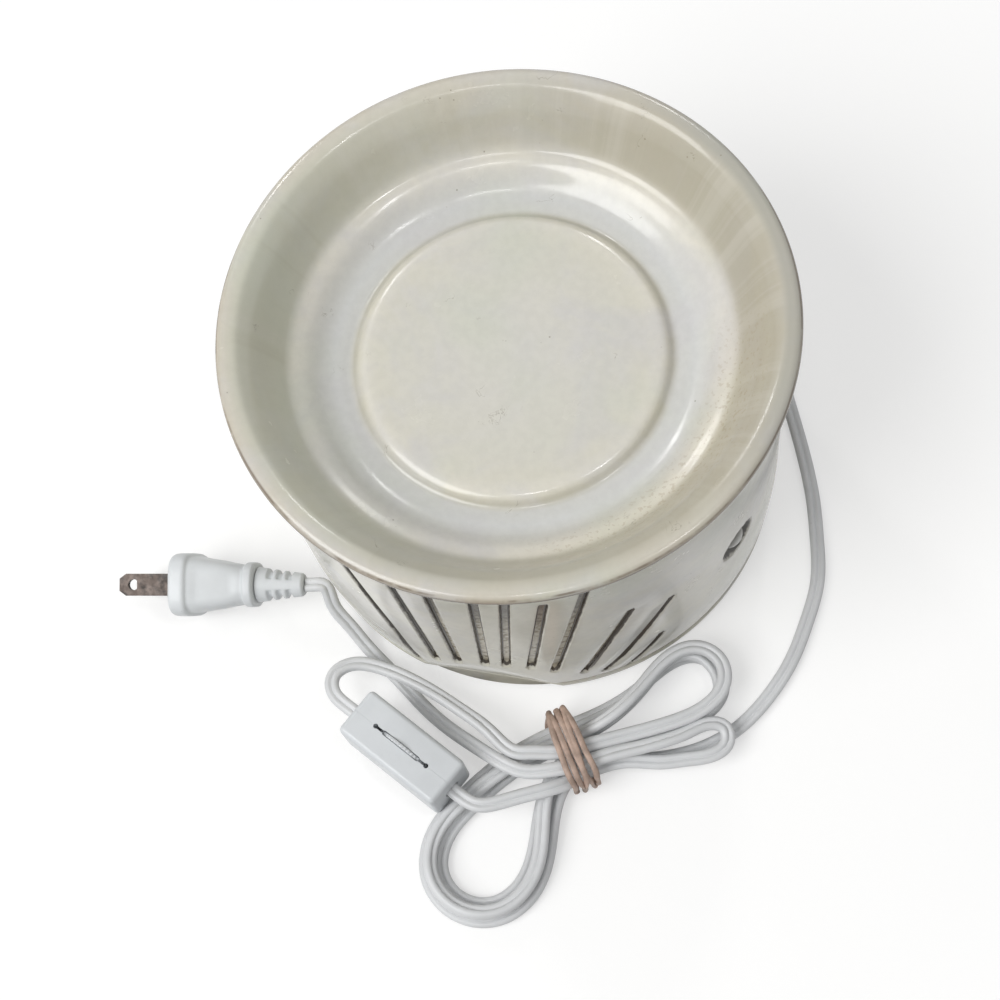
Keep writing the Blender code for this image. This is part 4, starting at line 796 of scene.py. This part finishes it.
bodyShape = {
    "wallR": wallR, "innerR": 64.5, "mouthR": 67.4, "bottom": 1.8, "top": 93.2, "wallTop": 91.6,
    "floorTop": 16.0, "floorUnder": 11.5, "nippleHole": 5.4, "rowStep": 1.0, "fanAzimuth": -112.2,
    "fanCount": 3, "facetDepth": 3.4, "facetTop": 27.0, "facetHalf": 45.0,
    "grooveWide": 2.5, "grooveDeep": 1.4, "clear": 2.2,
    "grooveFeet": (-17.0, -11.1, -5.4, 1.0, 5.8, 11.2, 16.2, 22.6, 27.5, 33.2),
    "grooveLows": (10.0, 22.0, 26.6, 29.6, 30.4, 28.8, 24.2, 17.0, 12.4, 8.0),
    "grooveLeans": (-26.0, -14.0, -5.9, 3.6, 10.0, 17.3, 26.2, 34.6, 44.2, 41.2),
    "grooveTops": (79.0, 84.0, 85.5, 86.7, 87.6, 82.0, 87.8, 58.0, 50.0, 24.0),
    "grooveColumns": (0.0, 0.45, 0.75, 0.95, 1.15, 1.4, 1.75), "plainColumn": 1.3,
    "dotAzimuth": 64.8, "dotZ": 44.4, "dotR": 4.7, "dotSink": 4.2, "dotRing": 6.3, "dotRingDeep": 2.0,
    "dotWindow": (11.0, 12.0), "dotColumn": 0.52, "lastColumn": 72.1, "sector": (-47.0, 55.8),
    "outerFrom": 68.0}
fastenAzimuths = (-51.0, 69.0, 189.0)
bossShape = {"at": 50.0, "r": 4.6, "bottom": 4.2, "top": 12.5, "pilotR": 1.8, "pilotTop": 9.3, "padAt": 66.45}
degPerMm = 180.0 / (math.pi * bodyShape["wallR"])


def grooveAzimuth(k, z):
    # azimuth of groove k at height z, from its fan's middle
    b = bodyShape
    return np.interp(z, (b["grooveLows"][k], b["grooveTops"][k]), (b["grooveFeet"][k], b["grooveLeans"][k]))


def grooveLine(k):
    z = np.array((bodyShape["grooveLows"][k], bodyShape["grooveTops"][k]))
    return np.column_stack([grooveAzimuth(k, z) / degPerMm, z])


def distanceToLine(p, line):
    best = np.full(len(p), 1e9)
    for a, c in zip(line, line[1:]):
        d = c - a
        t = np.clip(((p - a) @ d) / (d @ d), 0.0, 1.0)
        best = np.minimum(best, np.linalg.norm(p - a - t[:, None] * d, axis=1))
    return best


def sectorColumns():
    # mesh columns of one third of the wall, close together across each groove and the dot
    b = bodyShape
    feet = b["grooveFeet"]
    columns = [0.5 * (foot + after) for foot, after in zip(feet, feet[1:])]
    for foot in feet:
        columns += [foot + side * a * degPerMm for a in b["grooveColumns"] for side in (-1, 1)]
    columns += list(np.arange(b["sector"][0] + 0.4, feet[0] - 2.6, b["plainColumn"]))
    columns += list(np.arange(feet[-1] + 2.6, b["sector"][1], b["plainColumn"]))
    columns += list(b["dotAzimuth"] + np.arange(-15, 16) * b["dotColumn"] * degPerMm)
    columns.append(b["lastColumn"])
    return np.unique(np.round(columns, 4))


def wallColumns(base, z):
    # where the columns stand at height z: they follow the grooves, so each edge runs along mesh lines
    b = bodyShape
    knots = [b["sector"][0]]
    stands = [b["sector"][0]]
    wide = b["clear"] * degPerMm
    last = -1e9
    for k, foot in enumerate(b["grooveFeet"]):
        last = max(float(grooveAzimuth(k, z)), last + 4.0)
        knots += [foot - wide, foot + wide]
        stands += [last - wide, last + wide]
    return np.interp(base, knots + [b["sector"][1], 120.0], stands + [b["sector"][1], 120.0])


def makeBody():
    b = bodyShape
    columns = sectorColumns()
    wall = smoothLine([
        (69.35, 6.1), (69.8, 8.5), (70.1, 12.0), (b["wallR"], 19.0), (b["wallR"], 30.0), (b["wallR"], 55.0),
        (b["wallR"], 80.0), (70.2, 88.5), (69.75, b["wallTop"])], b["rowStep"])
    foot = smoothLine([
        (68.2, b["bottom"]), (69.1, 2.3), (69.55, 3.4), (69.3, 4.5), (68.75, 5.2), (69.1, 5.75)], 0.35)
    rim = roundedProfile([
        (69.6, 92.0), (69.2, b["top"]), (b["mouthR"] + 0.4, b["top"]), (b["mouthR"], 92.3)],
        {1: 0.8, 2: 0.6}, 3)
    inside = roundedProfile([
        (b["mouthR"], 90.0), (66.0, 84.0), (b["innerR"], 76.0), (b["innerR"], 48.0),
        (b["innerR"], b["floorTop"]), (30.0, b["floorTop"]), (b["nippleHole"], b["floorTop"]),
        (b["nippleHole"], b["floorUnder"]), (30.0, b["floorUnder"]), (b["innerR"], b["floorUnder"]),
        (b["innerR"], b["bottom"])], {4: 3.5, 9: 3.0}, 4)
    profile = [tuple(p) for p in foot] + [tuple(p) for p in wall] + rim + inside
    steps = b["fanCount"] * len(columns)
    mesh = spinMesh("body_glazed", profile, steps, True, sharpAngle=50.0)
    co = meshPoints(mesh)
    r = np.hypot(co[:, 0], co[:, 1])
    z = co[:, 2].copy()
    index = np.rint(np.degrees(np.arctan2(co[:, 1], co[:, 0])) / (360.0 / steps)).astype(int) % steps
    fan = index // len(columns)
    turn = np.zeros(len(co))
    height = np.round(np.where(r > b["outerFrom"], np.minimum(z, b["wallTop"]), b["wallTop"]), 3)
    for level in np.unique(height):
        row = height == level
        turn[row] = wallColumns(columns, level)[index[row] % len(columns)]
    azimuth = np.radians(b["fanAzimuth"] + 360.0 / b["fanCount"] * fan + turn)
    outer = (r > b["mouthR"] + 0.9) & (z < b["wallTop"] + 0.2)
    push = np.zeros(len(co))
    # flattened foot below each fan
    wide = b["facetHalf"]
    for lean in (-360.0 / b["fanCount"], 0.0):
        seen = turn + lean
        slope = b["facetDepth"] * (1.0 - z / b["facetTop"])
        cut = (r - slope) / np.cos(np.radians(np.clip(seen, -wide, wide)))
        flat = outer & (np.abs(seen) < wide) & (z < b["facetTop"])
        push[flat] = np.minimum(push[flat], np.minimum(0.0, cut[flat] - r[flat]))
    # pressed grooves
    half = 0.5 * b["grooveWide"]
    near = outer & (turn < b["sector"][1])
    spot = np.column_stack([turn[near] / degPerMm, z[near]])
    gap = np.full(near.sum(), 1e9)
    for k in range(len(b["grooveFeet"])):
        gap = np.minimum(gap, distanceToLine(spot, grooveLine(k)))
    push[near] -= b["grooveDeep"] * (1.0 - easeStep(half * 0.72, half * 1.15, gap))
    grooveNear = np.zeros(len(co))
    grooveNear[near] = np.clip(bodyLook["grooveReach"] - gap, 0.0, bodyLook["grooveReach"])
    # domed dot in a sunk round pocket
    wide, high = b["dotWindow"]
    close = outer & (np.abs(turn - b["dotAzimuth"]) < wide) & (np.abs(z - b["dotZ"]) < high)
    gap = np.hypot((turn[close] - b["dotAzimuth"]) / degPerMm, z[close] - b["dotZ"])
    ring = -b["dotRingDeep"] * easeStep(b["dotRing"] + 0.5, b["dotRing"] - 0.7, gap)
    dome = np.sqrt(np.maximum(b["dotR"] ** 2 - gap * gap, 0.0)) - b["dotSink"]
    push[close] = np.where(gap < b["dotR"], np.maximum(dome, -b["dotRingDeep"]), ring)
    dotNear = np.zeros(len(co))
    dotNear[close] = np.clip(bodyLook["dotReach"] - gap, 0.0, bodyLook["dotReach"])
    co[:, 0] = (r + push) * np.cos(azimuth)
    co[:, 1] = (r + push) * np.sin(azimuth)
    movePoints(mesh, co)
    mesh.attributes.new("grooveNear", "FLOAT", "POINT").data.foreach_set("value", grooveNear)
    mesh.attributes.new("dotNear", "FLOAT", "POINT").data.foreach_set("value", dotNear)
    piece = newPiece("body_glazed", mesh, glazeOnBody, "warmer", ["body_shell"])
    cutBody(piece)
    return piece


def cutBody(piece):
    # screw bosses under the floor, with pilot holes, and the arched notch for the cord
    b = bossShape
    bosses = []
    holes = []
    for azimuth in fastenAzimuths:
        at = Matrix.Translation(Vector(polar(b["at"], azimuth)) * mm)
        boss = [(0.0, b["bottom"]), (b["r"], b["bottom"]), (b["r"], b["top"]), (0.0, b["top"])]
        boss = roundedProfile(boss, {1: 0.6})
        bosses.append(spinMesh("boss", boss, 40, False, at))
        low = b["bottom"] - 1.0
        pilot = [(0.0, low), (b["pilotR"], low), (b["pilotR"], b["pilotTop"]), (0.0, b["pilotTop"] + 1.0)]
        holes.append(spinMesh("pilot", pilot, 24, False, at))
    e = cordExit
    arch = [(-e["notchR"] * math.cos(math.pi * k / 24.0), e["z"] + e["notchR"] * math.sin(math.pi * k / 24.0))
            for k in range(25)]
    arch = [(-e["notchR"], -3.0)] + arch + [(e["notchR"], -3.0)]
    turn = Matrix.Rotation(math.radians(e["azimuth"]), 4, "Z")
    holes.append(loftMesh("notch", [[(x, y, z) for y, z in arch] for x in (62.0, 76.0)], turn))
    cutWith(piece, bosses, "UNION")
    cutWith(piece, holes, "DIFFERENCE")


makeBody()
print("body made")


# inline switch: two smooth half shells on a hairline seam, and a thin ridged wheel in a narrow slot

def slotTool(long, wide, low, high):
    r = 0.5 * wide
    ring = []
    for k in range(9):
        a = math.pi * k / 8.0 - 0.5 * math.pi
        ring.append((0.5 * long - r + r * math.cos(a), r * math.sin(a)))
    ring += [(-x, -y) for x, y in ring]
    return loftMesh("slot", [[(x, y, z) for x, y in ring] for z in (low, high)], switchPlace)


def halfShell(name, side, node):
    s = switchShape
    half = Vector((0.5 * s["long"], 0.5 * s["thick"], 0.5 * s["high"]))
    low = Vector((-half.x, s["seam"] if side > 0 else -half.y, -half.z))
    high = Vector((half.x, half.y if side > 0 else -s["seam"], half.z))
    bm = bmesh.new()
    box = boxMesh("box", low, high)
    bm.from_mesh(box)
    bpy.data.meshes.remove(box)
    onSeam = [e for e in bm.edges if all(abs(v.co.y) < 0.001 for v in e.verts)]
    others = [e for e in bm.edges if e not in onSeam]
    bmesh.ops.bevel(bm, geom=others, offset=s["edge"] * mm, offset_type="OFFSET", segments=5, profile=0.5,
                    affect="EDGES", clamp_overlap=True, material=-1)
    rimEdges = [e for e in bm.edges if all(abs(v.co.y) < 0.0002 for v in e.verts)]
    bmesh.ops.bevel(bm, geom=rimEdges, offset=s["seamEdge"] * mm, offset_type="OFFSET", segments=2,
                    profile=0.5, affect="EDGES", clamp_overlap=True, material=-1)
    mesh = closeMesh(bm, name, 30.0, switchPlace)
    piece = newPiece(name, mesh, whiteShell, "warmer", [node])
    # a fine slit with a pit at each end, opened up in its middle for the wheel, over the wheel's hidden room
    tools = [slotTool(s["opening"], s["slotWide"], -s["past"], s["past"])]
    tools.append(slotTool(s["slot"], s["slotWide"], -s["room"], s["room"]))
    for face in (-1.0, 1.0):
        deep = face * (half.z - s["lineDeep"])
        tools.append(slotTool(s["slot"], s["lineWide"], *sorted((deep, face * s["past"]))))
    # an oval mouth for the cord in each end
    wide, high = s["mouth"]
    oval = [(wide * math.cos(math.pi * k / 12.0), high * math.sin(math.pi * k / 12.0)) for k in range(24)]
    for end in (-1.0, 1.0):
        reach = sorted((end * (half.x - s["mouthDeep"]), end * (half.x + 2.0)))
        tools.append(loftMesh("mouth", [[(x, y, z) for y, z in oval] for x in reach], switchPlace))
    pit = [(0.0, -s["pitDeep"]), (s["pitR"], -s["pitDeep"]), (s["pitR"], 1.0), (0.0, 1.0)]
    pit = [(r, half.z + z) for r, z in pit]
    for end in (-1.0, 1.0):
        at = Matrix.Translation(Vector((end * (0.5 * s["slot"] - s["pitIn"]), 0.0, 0.0)) * mm)
        tools.append(spinMesh("pit", pit, 20, False, switchPlace @ at))
    for tool in tools:
        cutWith(piece, [tool], "DIFFERENCE")
    piece.data.shade_smooth()
    piece.data.set_sharp_from_angle(angle=math.radians(30.0))
    level = piece.modifiers.new("level", "WEIGHTED_NORMAL")    # flat faces stay flat beside the rounded edges
    level.keep_sharp = True
    return piece


def makeWheel():
    s = switchShape
    w = 0.5 * s["wheelWide"]
    profile = [(s["hubR"], -w), (s["wheelR"], -w), (s["wheelR"], w), (s["hubR"], w)]
    mesh = spinMesh("thumb_wheel", roundedProfile(profile, {1: 0.45, 2: 0.45}), 288, True, None, 60.0)
    co = meshPoints(mesh)
    azimuth = np.arctan2(co[:, 1], co[:, 0])
    r = np.hypot(co[:, 0], co[:, 1])
    ridge = 0.5 + 0.5 * np.cos(s["ridges"] * azimuth)
    dip = s["ridgeDeep"] * easeStep(s["wheelR"] - 1.0, s["wheelR"] - 0.2, r) * ridge
    co[:, :2] *= (1.0 - dip / r)[:, None]
    movePoints(mesh, co)
    mesh.transform(switchPlace @ alongY)
    return newPiece("thumb_wheel", mesh, whiteWheel, "wheel", ["switch_wheel"])


shellA = halfShell("switch_half_a", 1.0, "switch_shell_1")
shellB = halfShell("switch_half_b", -1.0, "switch_shell_2")
wheel = makeWheel()
print("switch made")


# plug: moulded body with a nose flange and a shoulder ring, and a notched sleeve over the cord

sleeveShape = {
    "tailR": 3.25, "swell": 1.85, "clear": 0.3, "lead": 0.5, "leadDip": 0.45, "step": 0.27, "ringPoints": 72,
    "notches": (3.9, 6.7, 9.5), "notchDeep": 1.05}


def softRect(halfY, halfZ, count, power):
    ring = []
    for i in range(count):
        a = 2.0 * math.pi * (i + 0.5) / count
        c, s = math.cos(a), math.sin(a)
        y = halfY * math.copysign(abs(c) ** (2.0 / power), c)
        z = halfZ * math.copysign(abs(s) ** (2.0 / power), s)
        ring.append((y, z))
    return ring


def makePlug():
    p = plugShape
    table = np.array(p["sections"])
    stations = np.unique(np.concatenate([table[:, 0], np.arange(0.0, table[-1, 0], p["step"])]))
    rings = []
    for x in stations:
        wide = np.interp(x, table[:, 0], table[:, 1]) * p["halfWide"]
        high = np.interp(x, table[:, 0], table[:, 2]) * p["halfHigh"]
        power = 2.6 + 1.2 * easeStep(2.5, 8.0, x)
        # the two broad sides are hollowed a little between ring and flange, as a grip
        grip = p["grip"] * easeStep(3.6, 7.0, x) * easeStep(18.2, 15.2, x)
        ring = []
        for y, z in softRect(wide, high, p["ringPoints"], power):
            z -= math.copysign(grip * math.exp(-(y / (0.62 * wide)) ** 4), z)
            ring.append((p["relief"] + x, y, z))
        rings.append(ring)
    mesh = loftMesh("plug_moulded", rings, plugPlace, 50.0)
    return newPiece("plug_moulded", mesh, whitePlug, "warmer", ["plug_body"])


def makeSleeve():
    # a swelling sleeve, notched three times on its two flat sides
    s = sleeveShape
    rings = []
    end = plugShape["relief"] - s["clear"]
    for x in np.arange(0.0, end + 0.01, s["step"]):
        r = s["tailR"] + s["swell"] * x / end
        r -= s["leadDip"] * easeStep(s["lead"], 0.0, x)
        notch = max(easeStep(0.95, 0.45, abs(x - middle)) for middle in s["notches"])
        ring = []
        for i in range(s["ringPoints"]):
            a = 2.0 * math.pi * i / s["ringPoints"]
            grown = r - s["notchDeep"] * notch * easeStep(0.34, 0.52, abs(math.cos(a)))
            ring.append((x, grown * math.cos(a), grown * math.sin(a)))
        rings.append(ring)
    mesh = loftMesh("plug_sleeve", rings, plugPlace, 60.0)
    return newPiece("plug_sleeve", mesh, whitePlug, "warmer", ["plug_relief"])


plugBody = makePlug()
plugSleeve = makeSleeve()
print("plug made")

# lamp, holder, grommet, pads and screws, spun from rounded profiles

lampShape = {"wall": 0.7, "crown": 0.5, "crownFrom": 60.0, "ridges": 4, "ridgeZ": 31.3, "ridgePitch": 2.6}
lampTop = smoothLine([
    (4.9, 44.4), (5.5, 45.4), (7.2, 47.5), (9.5, 51.5), (10.4, 55.6), (9.5, 60.0), (7.0, 64.0), (3.6, 66.6),
    (1.6, 67.2), (0.0, 67.38)], 0.6)
lampOuter = [(4.9, 36.0), (4.9, 40.0)] + [tuple(p) for p in lampTop]
lampInner = []
for r, z in lampOuter:
    crown = lampShape["crown"] if z > lampShape["crownFrom"] else 0.0
    lampInner.append((max(0.0, r - lampShape["wall"]), z - crown))
capRidge = ((5.5, -0.95), (5.68, -0.55), (5.9, 0.0), (5.9, 0.4), (5.68, 0.95), (5.5, 1.35))
capRidges = []
for k in range(lampShape["ridges"]):
    z = lampShape["ridgeZ"] + lampShape["ridgePitch"] * k
    capRidges += [(r, z + up) for r, up in capRidge]
roundParts = {
    "bulb_envelope": {
        "node": "bulb_glass", "body": "lamp", "slot": "lamp_glass", "finish": clearGlass, "steps": 96,
        "closed": False,
        "profile": lampOuter + [(0.0, 66.7)] + lampInner[-2::-1] + [(4.2, 36.0), (4.9, 36.0)]},
    "lamp_cap": {
        "node": "bulb_cap", "body": "lamp", "slot": "brass_fittings", "finish": yellowBrass, "steps": 72,
        "closed": False,
        "profile": [(0.0, 29.3), (4.6, 29.3), (5.1, 29.6), (5.45, 30.1)] + capRidges + [
            (5.9, 42.4), (5.9, 43.7), (5.7, 44.0), (5.2, 44.0), (5.2, 31.0), (4.6, 30.1), (0.0, 30.1)]},
    "lamp_holder": {
        "node": "socket_body", "body": "warmer", "slot": "holder", "finish": blackPhenolic, "steps": 96,
        "closed": True,
        "profile": roundedProfile([
            (5.4, 16.3), (11.5, 16.3), (11.5, 30.5), (10.3, 31.6), (10.3, 42.0), (7.1, 42.0), (7.1, 25.5),
            (1.6, 25.5), (1.6, 24.0), (5.4, 24.0)], {1: 1.0, 2: 0.7, 3: 0.7, 4: 0.7, 5: 0.4})},
    "holder_shell": {
        "node": "socket_shell", "body": "warmer", "slot": "brass_fittings", "finish": yellowBrass,
        "steps": 72, "closed": True,
        "profile": roundedProfile([(6.3, 25.8), (6.8, 25.8), (6.8, 41.5), (6.3, 41.5)], {2: 0.2, 3: 0.2})},
    "cord_bush": {
        "node": "cord_grommet", "body": "warmer", "slot": "grommet", "finish": whiteRubber, "steps": 64,
        "closed": True, "turn": placed((0.0, 0.0, cordExit["z"]), cordExit["azimuth"]) @ alongX,
        "profile": roundedProfile([
            (2.1, 64.8), (4.0, 64.8), (4.0, 70.9), (5.4, 70.9), (5.4, cordExit["faceR"]),
            (2.1, cordExit["faceR"])], {1: 0.5, 4: 0.9, 5: 0.3})}}
for i, azimuth in enumerate(fastenAzimuths):
    roundParts[f"rubber_pad_{i + 1}"] = {
        "node": f"foot_pad_{i + 1}", "body": "warmer", "slot": "pad", "finish": padRubber, "steps": 48,
        "closed": False, "turn": placed(polar(bossShape["padAt"], azimuth), 0.0),
        "profile": roundedProfile([(0.0, 0.0), (2.6, 0.0), (2.6, 1.5), (0.0, 1.5)], {1: 0.5, 2: 0.2})}


def makeRound(name, part):
    mesh = spinMesh(name, part["profile"], part["steps"], part["closed"], part.get("turn"), 45.0)
    return newPiece(name, mesh, part["finish"], part["body"], [part["node"]])


for partName, part in roundParts.items():
    makeRound(partName, part)


def makeScrew(i, azimuth):
    # pan head under the cover, with a cross recess
    profile = roundedProfile([
        (0.0, 0.9), (2.75, 0.9), (2.9, 2.3), (1.5, 2.3), (1.5, 8.2), (0.6, 9.0), (0.0, 9.0)],
        {1: 0.9, 2: 0.2})
    at = placed(polar(bossShape["at"], azimuth), azimuth + 20.0)
    mesh = spinMesh("pan_screw", profile, 40, False, at)
    piece = newPiece(f"pan_screw_{i + 1}", mesh, plainSteel, "warmer",
                     [f"cover_screw_{i + 1}"])
    for x, y in ((1.5, 0.3), (0.3, 1.5)):
        cutWith(piece, [boxMesh("cross", (-x, -y, 0.0), (x, y, 1.7), at)], "DIFFERENCE")


for i, azimuth in enumerate(fastenAzimuths):
    makeScrew(i, azimuth)
print("lamp, holder and small pieces made")

# finishes for the nodes that keep their own solids

nodeFinish = {
    "bottom_cover": coverPlastic, "socket_nipple": yellowBrass, "nipple_washer": plainSteel,
    "nipple_nut": plainSteel, "socket_contact": yellowBrass, "bulb_contact": tinSolder,
    "bulb_stem": stemGlass, "filament": tungsten,
    "inner_lead": whiteVinyl, "wire_live": wireCopper, "wire_neutral": wireSilver, "switch_axle": plainSteel,
    "switch_contact_1": yellowBrass, "switch_contact_2": yellowBrass, "switch_screw": plainSteel,
    "plug_blade_1": bladeBrass, "plug_blade_2": bladeBrass}
for nodeName, finish in nodeFinish.items():
    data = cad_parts[nodeName].data
    data.materials.clear()
    data.materials.append(finish)

# floor, light and camera

studio = {
    "floor": (0.56, 0.56, 0.555), "floorSize": 6.0, "glow": (0.47, 0.87), "glowReach": (0.35, 2.2),
    "world": 0.31, "aim": (0.0, -0.02, 0.06)}
lamps = {
    "key": {"azimuth": -160.0, "elevation": 50.0, "away": 1.9, "size": (1.2, 1.2), "power": 25.0},
    "windowLeft": {"azimuth": 112.0, "elevation": 38.0, "away": 1.6, "size": (0.14, 0.42), "power": 1.9},
    "windowRight": {"azimuth": 66.0, "elevation": 40.0, "away": 1.6, "size": (0.12, 0.36), "power": 1.6},
    "ceilingRight": {"azimuth": -34.0, "elevation": 69.0, "away": 1.4, "size": (0.10, 0.22), "power": 1.3},
    "ceilingFront": {"azimuth": -101.0, "elevation": 75.0, "away": 1.4, "size": (0.22, 0.08), "power": 1.0}}
cameraSet = {
    "at": (0.0, -0.20287, 0.49853), "along": (-0.02426, 0.36283, -0.93154), "up": (0.21841, 0.91123, 0.34923),
    "lens": 64.8, "sensor": 36.0, "clip": 0.01}


def seenRay(tree):
    # one for rays that reach the eye straight, mirrored or through glass
    path = tree.nodes.new("ShaderNodeLightPath").outputs
    seen = path["Is Camera Ray"]
    for name in ("Is Glossy Ray", "Is Transmission Ray"):
        node = tree.nodes.new("ShaderNodeMath")
        node.operation = "MAXIMUM"
        tree.links.new(seen, node.inputs[0])
        tree.links.new(path[name], node.inputs[1])
        seen = node.outputs[0]
    return seen


def makeStudio():
    bm = bmesh.new()
    bmesh.ops.create_grid(bm, x_segments=2, y_segments=2, size=0.5 * studio["floorSize"])
    floorMesh = closeMesh(bm, "floor")
    f = Finish("paleFloor")
    pale = studio["floor"]
    f.set(colour=f.ramp(f.noise(3.0), [(0.0, tuple(c * 0.985 for c in pale)), (1.0, pale)]), rough=0.9)
    # the eye sees the floor brighter than it lights the object, and white far away
    glow = f.step(f.vector("LENGTH", f.coords), *studio["glowReach"], *studio["glow"])
    f.put(f.shader.inputs["Emission Color"], (1.0, 1.0, 1.0))
    f.put(f.shader.inputs["Emission Strength"], f.times(seenRay(f.tree), glow))
    floorMesh.materials.append(f.material)
    floor = bpy.data.objects.new("floor", floorMesh)
    bpy.context.scene.collection.objects.link(floor)
    world = bpy.data.worlds.new("softRoom")
    bpy.context.scene.world = world
    world.use_nodes = True
    back = world.node_tree.nodes["Background"]
    back.inputs["Color"].default_value = (1.0, 1.0, 1.0, 1.0)
    strength = world.node_tree.nodes.new("ShaderNodeMapRange")
    strength.inputs["To Min"].default_value = studio["world"]
    world.node_tree.links.new(seenRay(world.node_tree), strength.inputs["Value"])
    world.node_tree.links.new(strength.outputs[0], back.inputs["Strength"])
    for name, lamp in lamps.items():
        data = bpy.data.lights.new(name, "AREA")
        data.shape = "RECTANGLE"
        data.size, data.size_y = lamp["size"]
        data.energy = lamp["power"]
        light = bpy.data.objects.new(name, data)
        flat = lamp["away"] * math.cos(math.radians(lamp["elevation"]))
        up = lamp["away"] * math.sin(math.radians(lamp["elevation"]))
        light.location = Vector(polar(flat, lamp["azimuth"], up)) + Vector(studio["aim"])
        light.rotation_euler = (Vector(studio["aim"]) - light.location).to_track_quat("-Z", "Y").to_euler()
        bpy.context.scene.collection.objects.link(light)


def makeCamera():
    data = bpy.data.cameras.new("photoCamera")
    data.lens = cameraSet["lens"]
    data.sensor_width = cameraSet["sensor"]
    data.clip_start = cameraSet["clip"]
    camera = bpy.data.objects.new("photoCamera", data)
    back = -Vector(cameraSet["along"]).normalized()
    up = Vector(cameraSet["up"])
    right = up.cross(back).normalized()
    turn = Matrix((right, back.cross(right), back)).transposed().to_4x4()
    camera.matrix_world = Matrix.Translation(cameraSet["at"]) @ turn
    bpy.context.scene.collection.objects.link(camera)
    bpy.context.scene.camera = camera


makeStudio()
makeCamera()
bpy.context.scene.view_settings.view_transform = "Standard"
print("studio and camera set")
